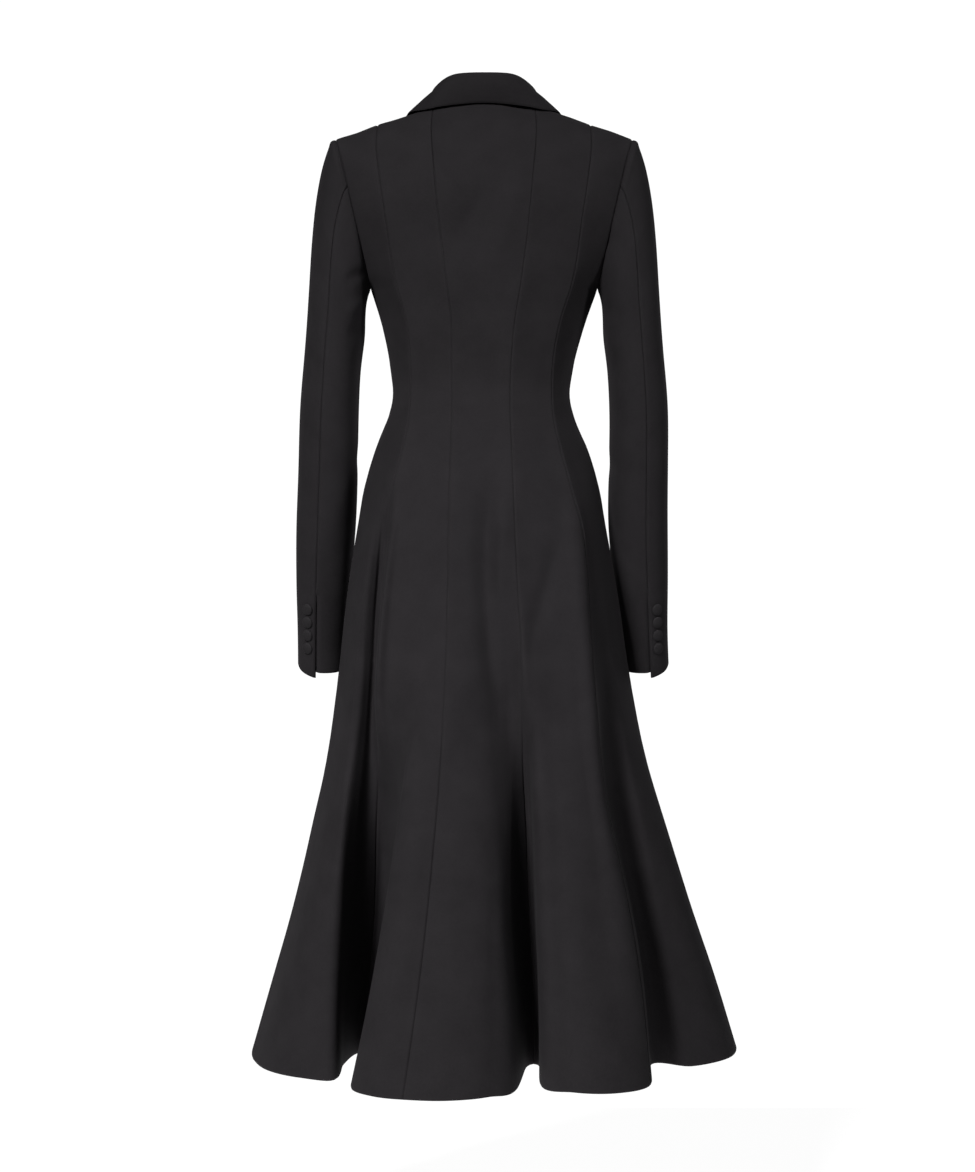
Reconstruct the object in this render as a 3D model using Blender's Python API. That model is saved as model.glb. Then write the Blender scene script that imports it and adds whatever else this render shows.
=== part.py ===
"""A fitted and flared tailored coat, filled out as it is worn, with its back towards -Y.

+X is the wearer's right and +Z is up. The origin lies at the base of the neck, between the shoulders.
Lengths are in millimetres and angles in degrees; MM turns a length to metres when a mesh is made.
A turn goes round the body from the centre back (0) over the wearer's right side (90) to the front (180).
"""

import math
from collections import namedtuple

import bpy
import numpy as np

MM = 0.001
WALL = 2.0  # the cloth with its fusing
SEAM_GAP = 0.3
FRONT_LAYER = 4.0  # how far the right front stands out over the left one
FRONT_LAYER_FULL = 24.0  # distance from the centre front where that is reached
FRONT_LAYER_ENDS = 62.0

# Colour and finish of the black wool crepe and of the buttons covered in it
CLOTH_COLOUR = (0.020, 0.019, 0.020, 1.0)
CLOTH_ROUGHNESS = 0.85
BUTTON_COLOUR = (0.022, 0.021, 0.022, 1.0)
BUTTON_ROUGHNESS = 0.75

# Heights
UNDERARM = -226.0
HIP = -523.0
HEM = -1191.0

# Shoulders and armholes
SHOULDER_TIP = 188.0  # from the centre line
UNDERARM_HALF = 144.0
SHOULDER_SLOPE = 0.346
SHOULDER_Z = -5.2  # of the shoulder seam at the collar's edge
SHOULDER_AT = 98.0
SLOPE_POWER = 1.5  # how late, going up from the underarm, the sections tilt to that slope
NECK_ROUND = 30.0  # rounds the shoulder line off where it would cross the neck
ARMHOLE_BACK = 56.0  # half depth of the armhole
ARMHOLE_FRONT = 52.0
BLADE = 140.0  # the back rounds over from here up to the shoulder seam
CHEST = 190.0  # and the front from here
BOXINESS = 0.04  # how much fuller than an ellipse the sections are

# Neckline, closing and lapels
NECK_HALF = 65.0
NECK_DIP = 0.225  # of the rise from the underarm, at the centre back
NECK_SEAM = 44.0  # the inner princess seams run into the back neckline here, under the collar
NECK_CLEAR = 2.0  # the panels beside them keep this clear of the collar
OVERLAP = 20.0  # each front reaches this far past the centre front
BREAK = -250.0  # where the lapels start to roll
GORGE = -48.0  # where lapel and collar meet on the roll line
LAPEL_TOP = GORGE - 3.0
LAPEL_WIDTH = 78.0
LAPEL_BELLY = 0.12
LAPEL_DROP = 0.25  # slope of the gorge
LAPEL_FOOT_DROP = 1.6  # slope of the lower end that tucks behind the other front
RIGHT_LAPEL_START = 0.06  # of the way up the roll line
LEFT_LAPEL_START = 0.33  # the left lapel shows from here up
LAPEL_SEAT = 0.3  # off the front along the roll line
LAPEL_LIFT = 3.2  # off the front beyond the roll
LAPEL_ROLL = 0.33  # share of the lapel's width in which it lifts
GORGE_SPACING = 1.2  # crowds the collar's sections towards the shoulder seam

# Body sections: depths are from the shoulder line, seams from the centre line
Level = namedtuple("Level", "height half_width back front lean inner_seam outer_seam front_seam")
LEVELS = (
    Level(HEM, 304, 246, 244, 9.5, 75.5, 227, 176),
    Level(-1095, 277, 224, 225, 9.5, 69, 206, 161),
    Level(-1003, 249.5, 203, 206, 7.5, 62, 186, 145),
    Level(-912, 225, 183, 187, 5, 56, 168, 131),
    Level(-820, 202.5, 164, 168, 2, 50, 151, 119),
    Level(-712, 185, 146, 151, -0.5, 46, 138, 111),
    Level(-617, 173, 131, 135, -2, 44, 131, 106),
    Level(HIP, 157.5, 115, 118, -3, 41, 121, 99),
    Level(-477, 149.5, 105, 110, -3, 39.5, 111, 92),
    Level(-432, 136.5, 93, 103, -3, 38, 99, 83),
    Level(-386, 118, 83, 97, -3.5, 36.5, 90, 75),
    Level(-363, 113, 81, 96, -3.5, 36.5, 89, 73),
    Level(-330, 116, 84, 101, -3, 37, 89, 75),
    Level(-272, 129, 92, 113, -1, 40, 96.5, 84),
    Level(UNDERARM, 144, 98, 117, 0, 46.5, 110, 93),
    Level(-140, 166, 100, 111, 0, 57, 123, 107),
    Level(-80, 180, 100, 101, 0, 62.5, 131, 120),
    Level(-38, 186, 100, 95, 0, 65, 135, 131),
    Level(-25, 187, 100, 94, 0, 60, 135, 132.5),
    Level(-7.6, 187.8, 100, 92.6, 0, NECK_SEAM, 135, 134.3),
    Level(0, 188, 100, 92, 0, 38, 135, 135),
)

# The skirt's folds: where each column leaves the hip, where it lands at the hem, how much lower it hangs
# there, and the height where it starts
Fold = namedtuple("Fold", "form turn x y dip start")
FOLDS = (
    Fold("overlap", -180, 4, 240, 0, -620),
    Fold("front lobe", -163, -92, 240, 2, -620),
    Fold("front trough", -149, -132, 128, 0, -640),
    Fold("side front lobe", -134, -212, 172, 2, -620),
    Fold("side front trough", -118, -222, 92, 0, -640),
    Fold("left side", -103, -290, 62, 3, -600),
    Fold("left side", -90, -294, -10, 8, -580),
    Fold("left lobe", -80, -271, -84, 9, -580),
    Fold("left lobe", -70, -226, -140, 8, -580),
    Fold("left lobe's edge", -60, -178, -152, 7, -590),
    Fold("left trough's wall", -54, -184, -88, 2, -605),
    Fold("left trough", -48.5, -180, -22, 0, -615),
    Fold("left trough", -44, -168, -22, 0, -615),
    Fold("left trough's wall", -38, -166, -104, 5, -605),
    Fold("centre lobe's edge", -29, -159, -192, 12, -600),
    Fold("centre lobe", -22, -132, -228, 13, -600),
    Fold("inner seam", -14, -94, -241, 14, -620),
    Fold("centre lobe", -6, -44, -247, 14, -620),
    Fold("centre lobe", 2, 6, -233, 13, -640),
    Fold("centre lobe's edge", 8.5, 42, -196, 12, -640),
    Fold("centre trough", 12.5, 46, -112, 0, -640),
    Fold("centre trough", 15.5, 57, -110, 0, -640),
    Fold("right lobe's edge", 20, 71, -190, 9, -640),
    Fold("right lobe", 27, 106, -216, 11, -620),
    Fold("right lobe", 37, 160, -210, 12, -610),
    Fold("outer seam", 46, 201, -172, 11, -600),
    Fold("right trough", 54, 205, -106, 3, -600),
    Fold("right side lobe", 66, 262, -54, 7, -600),
    Fold("right side", 78, 311, 2, 5, -600),
    Fold("right side", 90, 323, 52, 2, -600),
    Fold("side front trough", 113, 232, 78, 0, -640),
    Fold("side front lobe", 132, 224, 176, 2, -620),
    Fold("front trough", 149, 138, 130, 0, -640),
    Fold("front lobe", 165, 88, 240, 2, -620),
)
FOLD_POWER = 1.7

# Right sleeve's rings, from the armhole to the cuff: outer and inner points, middle and half of the depth,
# rise towards the front, and how far both sleeves drift to one side
Ring = namedtuple("Ring", "outer_x outer_z inner_x inner_z middle half_depth pitch drift")
RINGS = (
    Ring(188, -36, 144, -226, -2, 54, 0.0, 0),
    Ring(195, -42, 145.5, -229, -2, 56.5, 0.0, 0),
    Ring(203, -64, 147, -233, -2, 58, 0.0, 0),
    Ring(209, -90, 148.5, -239, -2, 59, 0.0, 0),
    Ring(214, -124, 150, -248, -2, 60, 0.0, 0),
    Ring(218, -168, 151, -262, -1, 60, 0.0, 0),
    Ring(222, -226, 152, -288, 0, 59, 0.0, 0),
    Ring(227.5, -298, 157, -332, 4, 57, 0.05, 0),
    Ring(233.5, -372, 159.5, -390, 10, 54, 0.1, 0),
    Ring(236, -446, 160.5, -454, 19, 51, 0.15, -1),
    Ring(238, -520, 162, -524, 32, 48, 0.2, -2.5),
    Ring(239, -592, 168, -594, 48, 45, 0.23, -2.5),
    Ring(239.5, -650, 173.5, -652, 62, 42.5, 0.24, -2),
    Ring(241, -703, 176.5, -706, 75, 40.5, 0.24, -1),
)
ARMHOLE_FADE = 3.0  # rings over which the sleeve leaves the armhole's own curve
BACK_SLEEVE_SEAM = 78.0  # turn round the sleeve: 0 outside, 90 back, 180 inside
FRONT_SLEEVE_SEAM = 236.0
VENT_POINT = 7.0  # the top sleeve's mitred corner hangs this much lower
VENT_POINT_WIDTH = 26.0

# Collar sections, from the centre back (0) by the shoulder seam (1) to the gorge (2)
CollarSection = namedtuple("CollarSection", "along fold_x fold_y fold_z edge_x edge_y edge_z")
COLLAR = (
    CollarSection(0.0, 0, -51, 39, 0, -66, 1.5),
    CollarSection(0.35, 36, -44, 38.5, 45, -59, -0.5),
    CollarSection(0.7, 57, -25, 29.5, 76, -40, -2.5),
    CollarSection(1.0, 65.5, 0, 21, 95.5, -4, -0.5),
    CollarSection(1.4, 63.5, 32, 2, 103, 36, -12),
    CollarSection(2.0, 50.5, 71, -38, 91, 71, -46),
)
COLLAR_SEAT = 0.9  # the stand's foot above the neckline
COLLAR_ROLL = 2.6  # radius of the fold
RollPoint = namedtuple("RollPoint", "out down")  # in radii of the fold, from the stand over to the fall
COLLAR_FOLD = (
    RollPoint(-1.0, 1.0),
    RollPoint(-0.7, 0.3),
    RollPoint(0.0, 0.0),
    RollPoint(0.7, 0.3),
    RollPoint(1.0, 1.0),
)
FallPoint = namedtuple("FallPoint", "share bulge")  # share of the way from the fold to the edge
COLLAR_FALL = (
    FallPoint(0.33, 2.5),
    FallPoint(0.67, 2.0),
)

# Covered buttons: a low dome over a rounded rim
ButtonRing = namedtuple("ButtonRing", "reach height")  # shares of the radius and of the thickness
BUTTON_RINGS = (
    ButtonRing(0.80, 0.0),
    ButtonRing(1.0, 0.35),
    ButtonRing(0.90, 0.75),
    ButtonRing(0.55, 0.95),
)
CUFF_BUTTONS = 4  # on each sleeve
CUFF_BUTTON = 15.0
CUFF_BUTTON_THICK = 3.2
CUFF_BUTTON_TURN = 60.0
CUFF_BUTTON_FIRST = -632.0
CUFF_BUTTON_PITCH = 16.6
FRONT_BUTTON = 20.0
FRONT_BUTTON_THICK = 5.0
FrontButton = namedtuple("FrontButton", "height seat")  # the hollower the front, the further off it sits
FRONT_BUTTONS = (
    FrontButton(-268.0, 0.1),
    FrontButton(-324.0, 0.9),
    FrontButton(-380.0, 0.9),
    FrontButton(-436.0, 0.9),
)

# Mesh fineness
PANEL_COLUMNS = 10
SIDE_BACK_COLUMNS = 12  # finer, because these panels curve round to the side and the armhole
SLEEVE_COLUMNS = (11, 8)  # top and under sleeve
SLEEVE_HEAD_RINGS = (0.0, 0.35, 0.8)
SLEEVE_RINGS_FROM = 1.4  # and evenly from here to the cuff
SLEEVE_ROWS = 14
COLLAR_COLUMNS = 24
LAPEL_COLUMNS = 5
LAPEL_ROWS = 10
BUTTON_SIDES = 12
SKIRT_ROWS = (-1191, -1125, -1055, -985, -912, -838, -762, -684, -604)
WAIST_ROWS = (-530, -470, -420, -375, -330, -280)
YOKE_ROWS = (0.0, 0.15, 0.3, 0.44, 0.58, 0.71, 0.83, 0.93, 0.999)  # of the rise to the shoulder
PROBE = 0.1  # small step for the direction of a surface


def clear_scene():
    for item in list(bpy.data.objects):
        bpy.data.objects.remove(item, do_unlink=True)


def smooth(stations, values, at):
    """A smooth curve through a table's column, read at any place along it."""
    stations = np.asarray(stations, float)
    values = np.asarray(values, float)
    slopes = np.gradient(values, stations)
    at = np.clip(at, stations[0], stations[-1])
    index = np.clip(np.searchsorted(stations, at) - 1, 0, len(stations) - 2)
    span = stations[index + 1] - stations[index]
    t = (at - stations[index]) / span
    start = (1 + 2 * t) * (1 - t) ** 2 * values[index]
    end = t * t * (3 - 2 * t) * values[index + 1]
    bend = t * (1 - t) ** 2 * slopes[index] - t * t * (1 - t) * slopes[index + 1]
    return start + end + span * bend


def column(table, name):
    return [getattr(row, name) for row in table]


def level(name, height):
    return smooth(column(LEVELS, "height"), column(LEVELS, name), height)


def unit(vectors):
    return vectors / np.linalg.norm(vectors, axis=-1, keepdims=True)


# Body sections

def fullness(turn):
    return 1 + BOXINESS * np.sin(2 * np.radians(turn)) ** 2


QUARTER = np.linspace(0, 90, 361)
QUARTER_ACROSS = np.sin(np.radians(QUARTER)) * fullness(QUARTER)


def turn_across(share):
    """The turn from the centre line where a section reaches this share of its half width."""
    return np.interp(share, QUARTER_ACROSS, QUARTER)


def height_of(rise):
    """Rise is counted from the underarm; above it the rows crowd towards the shoulder seam."""
    up = np.sin(np.radians(90) * np.clip(rise / -UNDERARM, 0, 1))
    return np.where(rise < 0, UNDERARM + rise, UNDERARM * (1 - up))


def rise_of(height):
    up = np.degrees(np.arcsin(np.clip(1 - height / UNDERARM, 0, 1))) / 90
    return np.where(height < UNDERARM, height - UNDERARM, -UNDERARM * np.minimum(up, YOKE_ROWS[-1]))


def section_depth(height, front):
    rounding = CHEST if front else BLADE
    above = np.clip((height + rounding) / rounding, 0, 1)
    return level("front" if front else "back", height) * np.sqrt(1 - above**2)


def armhole_half(height):
    """Distance of the armhole from the centre line."""
    return UNDERARM_HALF + (SHOULDER_TIP - UNDERARM_HALF) * (height - UNDERARM) / -UNDERARM


def armhole_depth(height, front):
    middle = UNDERARM / 2
    along = np.clip((height - middle) / middle, -1, 1)
    return (ARMHOLE_FRONT if front else ARMHOLE_BACK) * np.sqrt(1 - along**2)


def armhole_turn(height, front):
    """The turn from the centre line at which a section meets the armhole, or the side seam below it."""
    depth = np.maximum(section_depth(height, front), 1e-6)
    share = np.clip(armhole_depth(height, front) / depth, 0, 0.98)
    return np.where(height > UNDERARM, 90 - turn_across(share), 90.0)


def section_half(height, front):
    """Half width of a section; above the underarm it runs through the armhole's edge."""
    edge = armhole_turn(height, front)
    reach = np.sin(np.radians(edge)) * fullness(edge)
    return np.where(height > UNDERARM, armhole_half(height) / reach, level("half_width", height))


def shoulder_line(x):
    level_start = math.hypot(SHOULDER_AT, NECK_ROUND)
    return SHOULDER_Z - SHOULDER_SLOPE * (np.hypot(x, NECK_ROUND) - level_start)


def lifted(x, height):
    """The height of a point once its section is tilted to the slope of the shoulders."""
    share = np.clip((height - UNDERARM) / -UNDERARM, 0, 1) ** SLOPE_POWER
    return height + shoulder_line(x) * share


def plain_section(turn, height):
    angle = np.radians(turn)
    full = fullness(turn)
    front = np.cos(angle) < 0
    half = np.where(front, section_half(height, True), section_half(height, False))
    depth = np.where(front, section_depth(height, True), section_depth(height, False))
    return half * np.sin(angle) * full + level("lean", height), -depth * np.cos(angle) * full


def fold_column(name, turn):
    """A column of the fold table, read round the whole skirt."""
    turns = column(FOLDS, "turn")
    values = column(FOLDS, name)
    wrapped = (np.asarray(turn) + 180) % 360 - 180
    around = [t - 360 for t in turns[-3:]] + turns + [t + 360 for t in turns[:3]]
    return smooth(around, values[-3:] + values + values[:3], wrapped)


def body(turn, rise):
    """Points of the coat's outer face."""
    turn, rise = np.broadcast_arrays(np.asarray(turn, float), np.asarray(rise, float))
    height = height_of(rise)
    x, y = plain_section(turn, height)
    hem_x, hem_y = plain_section(turn, np.full_like(height, HEM))
    start = fold_column("start", turn)
    share = np.clip((start - height) / (start - HEM), 0, 1) ** FOLD_POWER
    x = x + (fold_column("x", turn) - hem_x) * share
    y = y + (fold_column("y", turn) - hem_y) * share
    flare = np.clip((HIP - height) / (HIP - HEM), 0, 1)
    dip = fold_column("dip", turn) * flare
    return np.stack([x, y, lifted(x, height) - dip], axis=-1)


def body_normal(turn, rise):
    across = body(turn + PROBE, rise) - body(turn - PROBE, rise)
    up = body(turn, rise + PROBE) - body(turn, rise - PROBE)
    return unit(np.cross(across, up))


def turn_at(x, rise, front):
    """The turn of the point at this distance from the centre line."""
    height = height_of(np.asarray(rise, float))
    turn = turn_across(np.abs(x) / section_half(height, front)) * np.sign(x)
    return 180 - turn if front else turn


# Seams and edges: each gives the turn at a row, for the wearer's right side

def inner_seam(rise):
    return turn_at(level("inner_seam", height_of(rise)), rise, False)


def outer_seam(rise):
    return turn_at(level("outer_seam", height_of(rise)), rise, False)


def side_back_edge(rise):
    return armhole_turn(height_of(rise), False)


def side_front_edge(rise):
    return 180 - armhole_turn(height_of(rise), True)


def front_seam(rise):
    return turn_at(level("front_seam", height_of(rise)), rise, True)


def front_edge_x(height):
    """The closing edge, which lies past the centre front, and the roll line above it."""
    up = np.clip((height - BREAK) / -BREAK, 0, 1)
    return -OVERLAP + (NECK_HALF + OVERLAP) * up


def front_edge(rise):
    return turn_at(front_edge_x(height_of(rise)), rise, True)


# Walls

def make_object(name, points, faces, colour, roughness):
    mesh = bpy.data.meshes.new(name)
    mesh.from_pydata((np.asarray(points) * MM).tolist(), [], faces)
    mesh.validate()
    mesh.shade_smooth()
    mesh.set_sharp_from_angle(angle=math.radians(50))
    material = bpy.data.materials.new(name)
    material.use_nodes = True
    shader = material.node_tree.nodes["Principled BSDF"]
    shader.inputs["Base Color"].default_value = colour
    shader.inputs["Roughness"].default_value = roughness
    shader.inputs["Metallic"].default_value = 0.0
    mesh.materials.append(material)
    piece = bpy.data.objects.new(name, mesh)
    bpy.context.collection.objects.link(piece)
    return piece


def grid_faces(rows, columns, first, flip):
    faces = []
    for r in range(rows - 1):
        for c in range(columns - 1):
            corner = first + r * columns + c
            face = (corner, corner + 1, corner + columns + 1, corner + columns)
            faces.append(face[::-1] if flip else face)
    return faces


def wall(name, outer, normals, thickness=WALL):
    """A closed sheet of cloth: rows by columns of outer points, and as many inner ones."""
    rows, columns = outer.shape[:2]
    inner = outer - normals * thickness
    r, c = rows // 2, columns // 2
    across = outer[r, c + 1] - outer[r, c]
    up = outer[r + 1, c] - outer[r, c]
    flip = np.dot(np.cross(across, up), normals[r, c]) < 0
    count = rows * columns
    faces = grid_faces(rows, columns, 0, flip) + grid_faces(rows, columns, count, not flip)
    rim = list(range(columns))
    rim += [r * columns + columns - 1 for r in range(1, rows)]
    rim += [(rows - 1) * columns + c for c in range(columns - 2, -1, -1)]
    rim += [r * columns for r in range(rows - 2, 0, -1)]
    for a, b in zip(rim, rim[1:] + rim[:1]):
        # Both pieces at a seam split their edge along the same diagonal, so that the gap stays open
        if a < b:
            edge = ((a, a + count, b + count), (a, b + count, b))
        else:
            edge = ((a, a + count, b), (a + count, b + count, b))
        faces += [face[::-1] if flip else face for face in edge]
    points = np.concatenate([outer.reshape(-1, 3), inner.reshape(-1, 3)])
    return make_object(name, points, faces, CLOTH_COLOUR, CLOTH_ROUGHNESS)


def mirrored(points, side):
    return points * np.array([side, 1, 1])


# Body panels

# Rises of the panels' rows, from the hem to the shoulder
LOWER_ROWS = [height - UNDERARM for height in SKIRT_ROWS + WAIST_ROWS]
ROWS = np.array(LOWER_ROWS + [-UNDERARM * share for share in YOKE_ROWS])


def even_shares(start, end, columns=PANEL_COLUMNS):
    """Shares from one seam to the next that are evenly spaced along the hem."""
    shares = np.linspace(0, 1, 241)
    turns = start + (end - start) * shares
    path = body(turns, np.full_like(turns, HEM - UNDERARM))
    steps = np.linalg.norm(np.diff(path, axis=0), axis=1)
    along = np.concatenate([[0], np.cumsum(steps)])
    return np.interp(np.linspace(0, along[-1], columns + 1), along, shares)


def parted(turns, rise):
    """Turns of a panel's columns with both outer ones held half a seam gap clear of their seams."""
    turns = turns.copy()
    way = np.sign(turns[:, -1] - turns[:, 0])
    for edge, inward in ((0, 1), (-1, -1)):
        here = turns[:, edge]
        step = body(here + PROBE, rise[:, edge]) - body(here - PROBE, rise[:, edge])
        turns[:, edge] += inward * way * SEAM_GAP / 2 * 2 * PROBE / np.linalg.norm(step, axis=-1)
    return turns


def panel_grid(start, end, columns=PANEL_COLUMNS):
    """Turns and rises of a panel between two seams."""
    shares = even_shares(start[0], end[0], columns)
    turns = start[:, None] + (end - start)[:, None] * shares[None, :]
    rise = np.broadcast_to(ROWS[:, None], turns.shape)
    return parted(turns, rise), rise


def front_layer(turn, rise, side):
    """How far a front stands out: the right one lies over the left at the centre."""
    if side < 0:
        return np.zeros_like(turn)
    across = np.abs(body(turn, rise)[..., 0])
    share = np.clip((FRONT_LAYER_ENDS - across) / (FRONT_LAYER_ENDS - FRONT_LAYER_FULL), 0, 1)
    return FRONT_LAYER * share * share * (3 - 2 * share)


def front_face(turn, rise, side):
    """Points and normals of a front's outer face, for turns counted on the wearer's right side."""
    signed = turn * side
    normals = body_normal(signed, rise)
    return body(signed, rise) + normals * front_layer(signed, rise, side)[..., None], normals


def make_panel(name, start, end, side, columns=PANEL_COLUMNS):
    turns, rise = panel_grid(start(ROWS) * side, end(ROWS) * side, columns)
    return wall(name, body(turns, rise), body_normal(turns, rise))


def neck_rise(x):
    """The rise of the back neckline at this distance from the centre line."""
    inside = np.sqrt(np.clip(1 - (np.abs(x) / NECK_HALF) ** 2, 0, 1))
    return -UNDERARM * np.minimum(1 - NECK_DIP * inside, YOKE_ROWS[-1])


def lowered_rows(tops):
    """Rises of a panel whose columns end at these tops, some of them on the back neckline."""
    yoke = np.clip(ROWS / ROWS[-1], 0, 1)
    return np.where(ROWS[:, None] > 0, yoke[:, None] * tops[None, :], ROWS[:, None])


def make_centre_back():
    hem = inner_seam(ROWS)[0]
    across = 2 * even_shares(-hem, hem) - 1
    rise = lowered_rows(neck_rise(across * NECK_SEAM))
    turns = parted(inner_seam(rise) * across, rise)
    return wall("centre_back", body(turns, rise), body_normal(turns, rise))


def make_back(name, side):
    """The panel beside the centre back: its top is the end of the neckline and the shoulder seam."""
    shares = even_shares(inner_seam(ROWS)[0] * side, outer_seam(ROWS)[0] * side)
    neck_end = neck_rise(NECK_SEAM)
    inner, outer = inner_seam(neck_end), outer_seam(ROWS[-1])
    top_x = body(inner + (outer - inner) * shares, ROWS[-1])[:, 0]
    rise = lowered_rows(neck_rise(np.maximum(top_x - NECK_CLEAR, NECK_SEAM)))
    turns = inner_seam(rise) + (outer_seam(rise) - inner_seam(rise)) * shares
    turns = parted(turns * side, rise)
    return wall(name, body(turns, rise), body_normal(turns, rise))


def make_front(name, side):
    turns, rise = panel_grid(front_seam(ROWS), front_edge(ROWS))
    points, normals = front_face(turns, rise, side)
    return wall(name, points, normals)


def make_body():
    make_centre_back()
    for hand, side in (("right", 1), ("left", -1)):
        make_back(f"back_{hand}", side)
        make_panel(f"side_back_{hand}", outer_seam, side_back_edge, side, SIDE_BACK_COLUMNS)
        make_panel(f"side_front_{hand}", side_front_edge, front_seam, side)
        make_front(f"front_{hand}", side)


# Sleeves

def armhole(turn):
    """The armhole's edge, by the turn round the sleeve."""
    angle = np.radians(turn)
    height = UNDERARM / 2 * (1 - np.cos(angle))
    x = armhole_half(height)
    depth = np.where(np.sin(angle) > 0, ARMHOLE_BACK, ARMHOLE_FRONT)
    return np.stack([x, -depth * np.sin(angle), lifted(x, height)], axis=-1)


def ring_column(name, ring):
    return smooth(np.arange(len(RINGS)), column(RINGS, name), ring)


def sleeve_ring(turn, ring):
    outer_x, outer_z, inner_x, inner_z, middle, half_depth, pitch = (
        ring_column(name, ring) for name in Ring._fields[:-1]
    )
    angle = np.radians(turn)
    full = fullness(turn)
    along = np.cos(angle) * full
    depth = -half_depth * np.sin(angle) * full
    x = (outer_x + inner_x) / 2 + (outer_x - inner_x) / 2 * along
    z = (outer_z + inner_z) / 2 + (outer_z - inner_z) / 2 * along + pitch * depth
    return np.stack([x, middle + depth, z], axis=-1)


def sleeve(turn, ring):
    """Points of the right sleeve's outer face."""
    turn, ring = np.broadcast_arrays(np.asarray(turn, float), np.asarray(ring, float))
    left_over = np.clip(1 - ring / ARMHOLE_FADE, 0, 1) ** 2
    start = armhole(turn) - sleeve_ring(turn, np.zeros_like(ring))
    return sleeve_ring(turn, ring) + start * left_over[..., None]


def sleeve_normal(turn, ring):
    last = len(RINGS) - 1
    around = sleeve(turn + 0.2, ring) - sleeve(turn - 0.2, ring)
    down = sleeve(turn, np.minimum(ring + 0.02, last)) - sleeve(turn, np.maximum(ring - 0.02, 0))
    return unit(np.cross(around, down))


def on_side(points, ring, side):
    """Points of the right sleeve, or mirrored to the left one, with the drift that both share."""
    drift = np.zeros_like(points)
    drift[..., 0] = ring_column("drift", ring)
    return mirrored(points, side) + drift


def armhole_plane():
    """A direction square to the armhole, away from the body."""
    top, back, bottom = armhole(np.array([0.0, 90.0, 180.0]))
    square = np.cross(top - bottom, back - (top + bottom) / 2)
    return unit(square * np.sign(square[0]))


def make_sleeve(name, start, end, columns, side, vent_turn):
    last = len(RINGS) - 1
    rings = np.concatenate([SLEEVE_HEAD_RINGS, np.linspace(SLEEVE_RINGS_FROM, last, SLEEVE_ROWS)])
    turns = np.linspace(start, end, columns + 1)[None, :] * np.ones((len(rings), 1))
    for edge, inward in ((0, 1), (-1, -1)):
        here = turns[:, edge]
        step = np.linalg.norm(sleeve(here + 0.5, rings) - sleeve(here - 0.5, rings), axis=-1)
        turns[:, edge] += inward * SEAM_GAP / 2 / step
    ring = np.broadcast_to(rings[:, None], turns.shape)
    points = sleeve(turns, ring).copy()
    normals = sleeve_normal(turns, ring)
    square = armhole_plane()
    around = armhole(turns[0] + 0.5) - armhole(turns[0] - 0.5)
    normals[0] = unit(np.cross(square, around))
    middle = (armhole(np.array(0.0)) + armhole(np.array(180.0))) / 2
    normals[0] *= np.sign(np.sum(normals[0] * (armhole(turns[0]) - middle), axis=-1, keepdims=True))
    points[0] += square * SEAM_GAP
    if vent_turn is not None:
        near = np.clip(1 - np.abs(turns[-1] - vent_turn) / VENT_POINT_WIDTH, 0, 1)
        points[-1] += unit(points[-1] - points[-2]) * VENT_POINT * near[:, None]
    return wall(name, on_side(points, ring, side), mirrored(normals, side))


def make_sleeves():
    top, under = SLEEVE_COLUMNS
    for hand, side in (("right", 1), ("left", -1)):
        make_sleeve(
            f"top_sleeve_{hand}", FRONT_SLEEVE_SEAM - 360, BACK_SLEEVE_SEAM, top, side, BACK_SLEEVE_SEAM
        )
        make_sleeve(f"under_sleeve_{hand}", BACK_SLEEVE_SEAM, FRONT_SLEEVE_SEAM, under, side, None)


# Collar and lapels

def neckline(along):
    """The edge that the collar is sewn to: the back neck up to 1, then the roll line down to the gorge."""
    back_x = NECK_HALF * np.sin(np.radians(90 * np.minimum(along, 1)))
    back_rise = neck_rise(back_x)
    back = body(turn_at(back_x, back_rise, False), back_rise)
    front_rise = rise_of(GORGE * np.clip(along - 1, 0, 1) ** GORGE_SPACING)
    front = body(front_edge(front_rise), front_rise)
    return np.where((along > 1)[..., None], front, back)


def collar_section(along):
    """Middle line of the folded collar, from the neckline over the fold to the fall's edge."""
    stations = column(COLLAR, "along")
    fold = np.array([smooth(stations, column(COLLAR, f"fold_{axis}"), along) for axis in "xyz"])
    edge = np.array([smooth(stations, column(COLLAR, f"edge_{axis}"), along) for axis in "xyz"])
    base = neckline(np.array([along]))[0]
    out = edge - base
    out[2] = 0
    out = unit(out)
    up = np.array([0, 0, 1.0])
    base = base - out * WALL / 2 + up * COLLAR_SEAT
    roll = [fold + (out * point.out - up * point.down) * COLLAR_ROLL for point in COLLAR_FOLD]
    fall = [roll[-1] + (edge - roll[-1]) * point.share + out * point.bulge for point in COLLAR_FALL]
    return [base, (base + roll[0]) / 2, *roll, *fall, edge]


def grid_normals(points):
    """Normals of a grid of points, from its own rows and columns."""
    rows = np.gradient(points, axis=0)
    columns = np.gradient(points, axis=1)
    return unit(np.cross(columns, rows))


def make_collar():
    half = [collar_section(along) for along in np.linspace(0, 2, COLLAR_COLUMNS // 2 + 1)]
    right = np.array(half)
    left = mirrored(right[:0:-1], -1)
    middle = np.concatenate([left, right])
    normals = grid_normals(middle)
    outward = normals[COLLAR_COLUMNS // 2, -2]
    if outward[1] > 0:
        normals = -normals
    return wall("collar", middle + normals * WALL / 2, normals)


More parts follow.
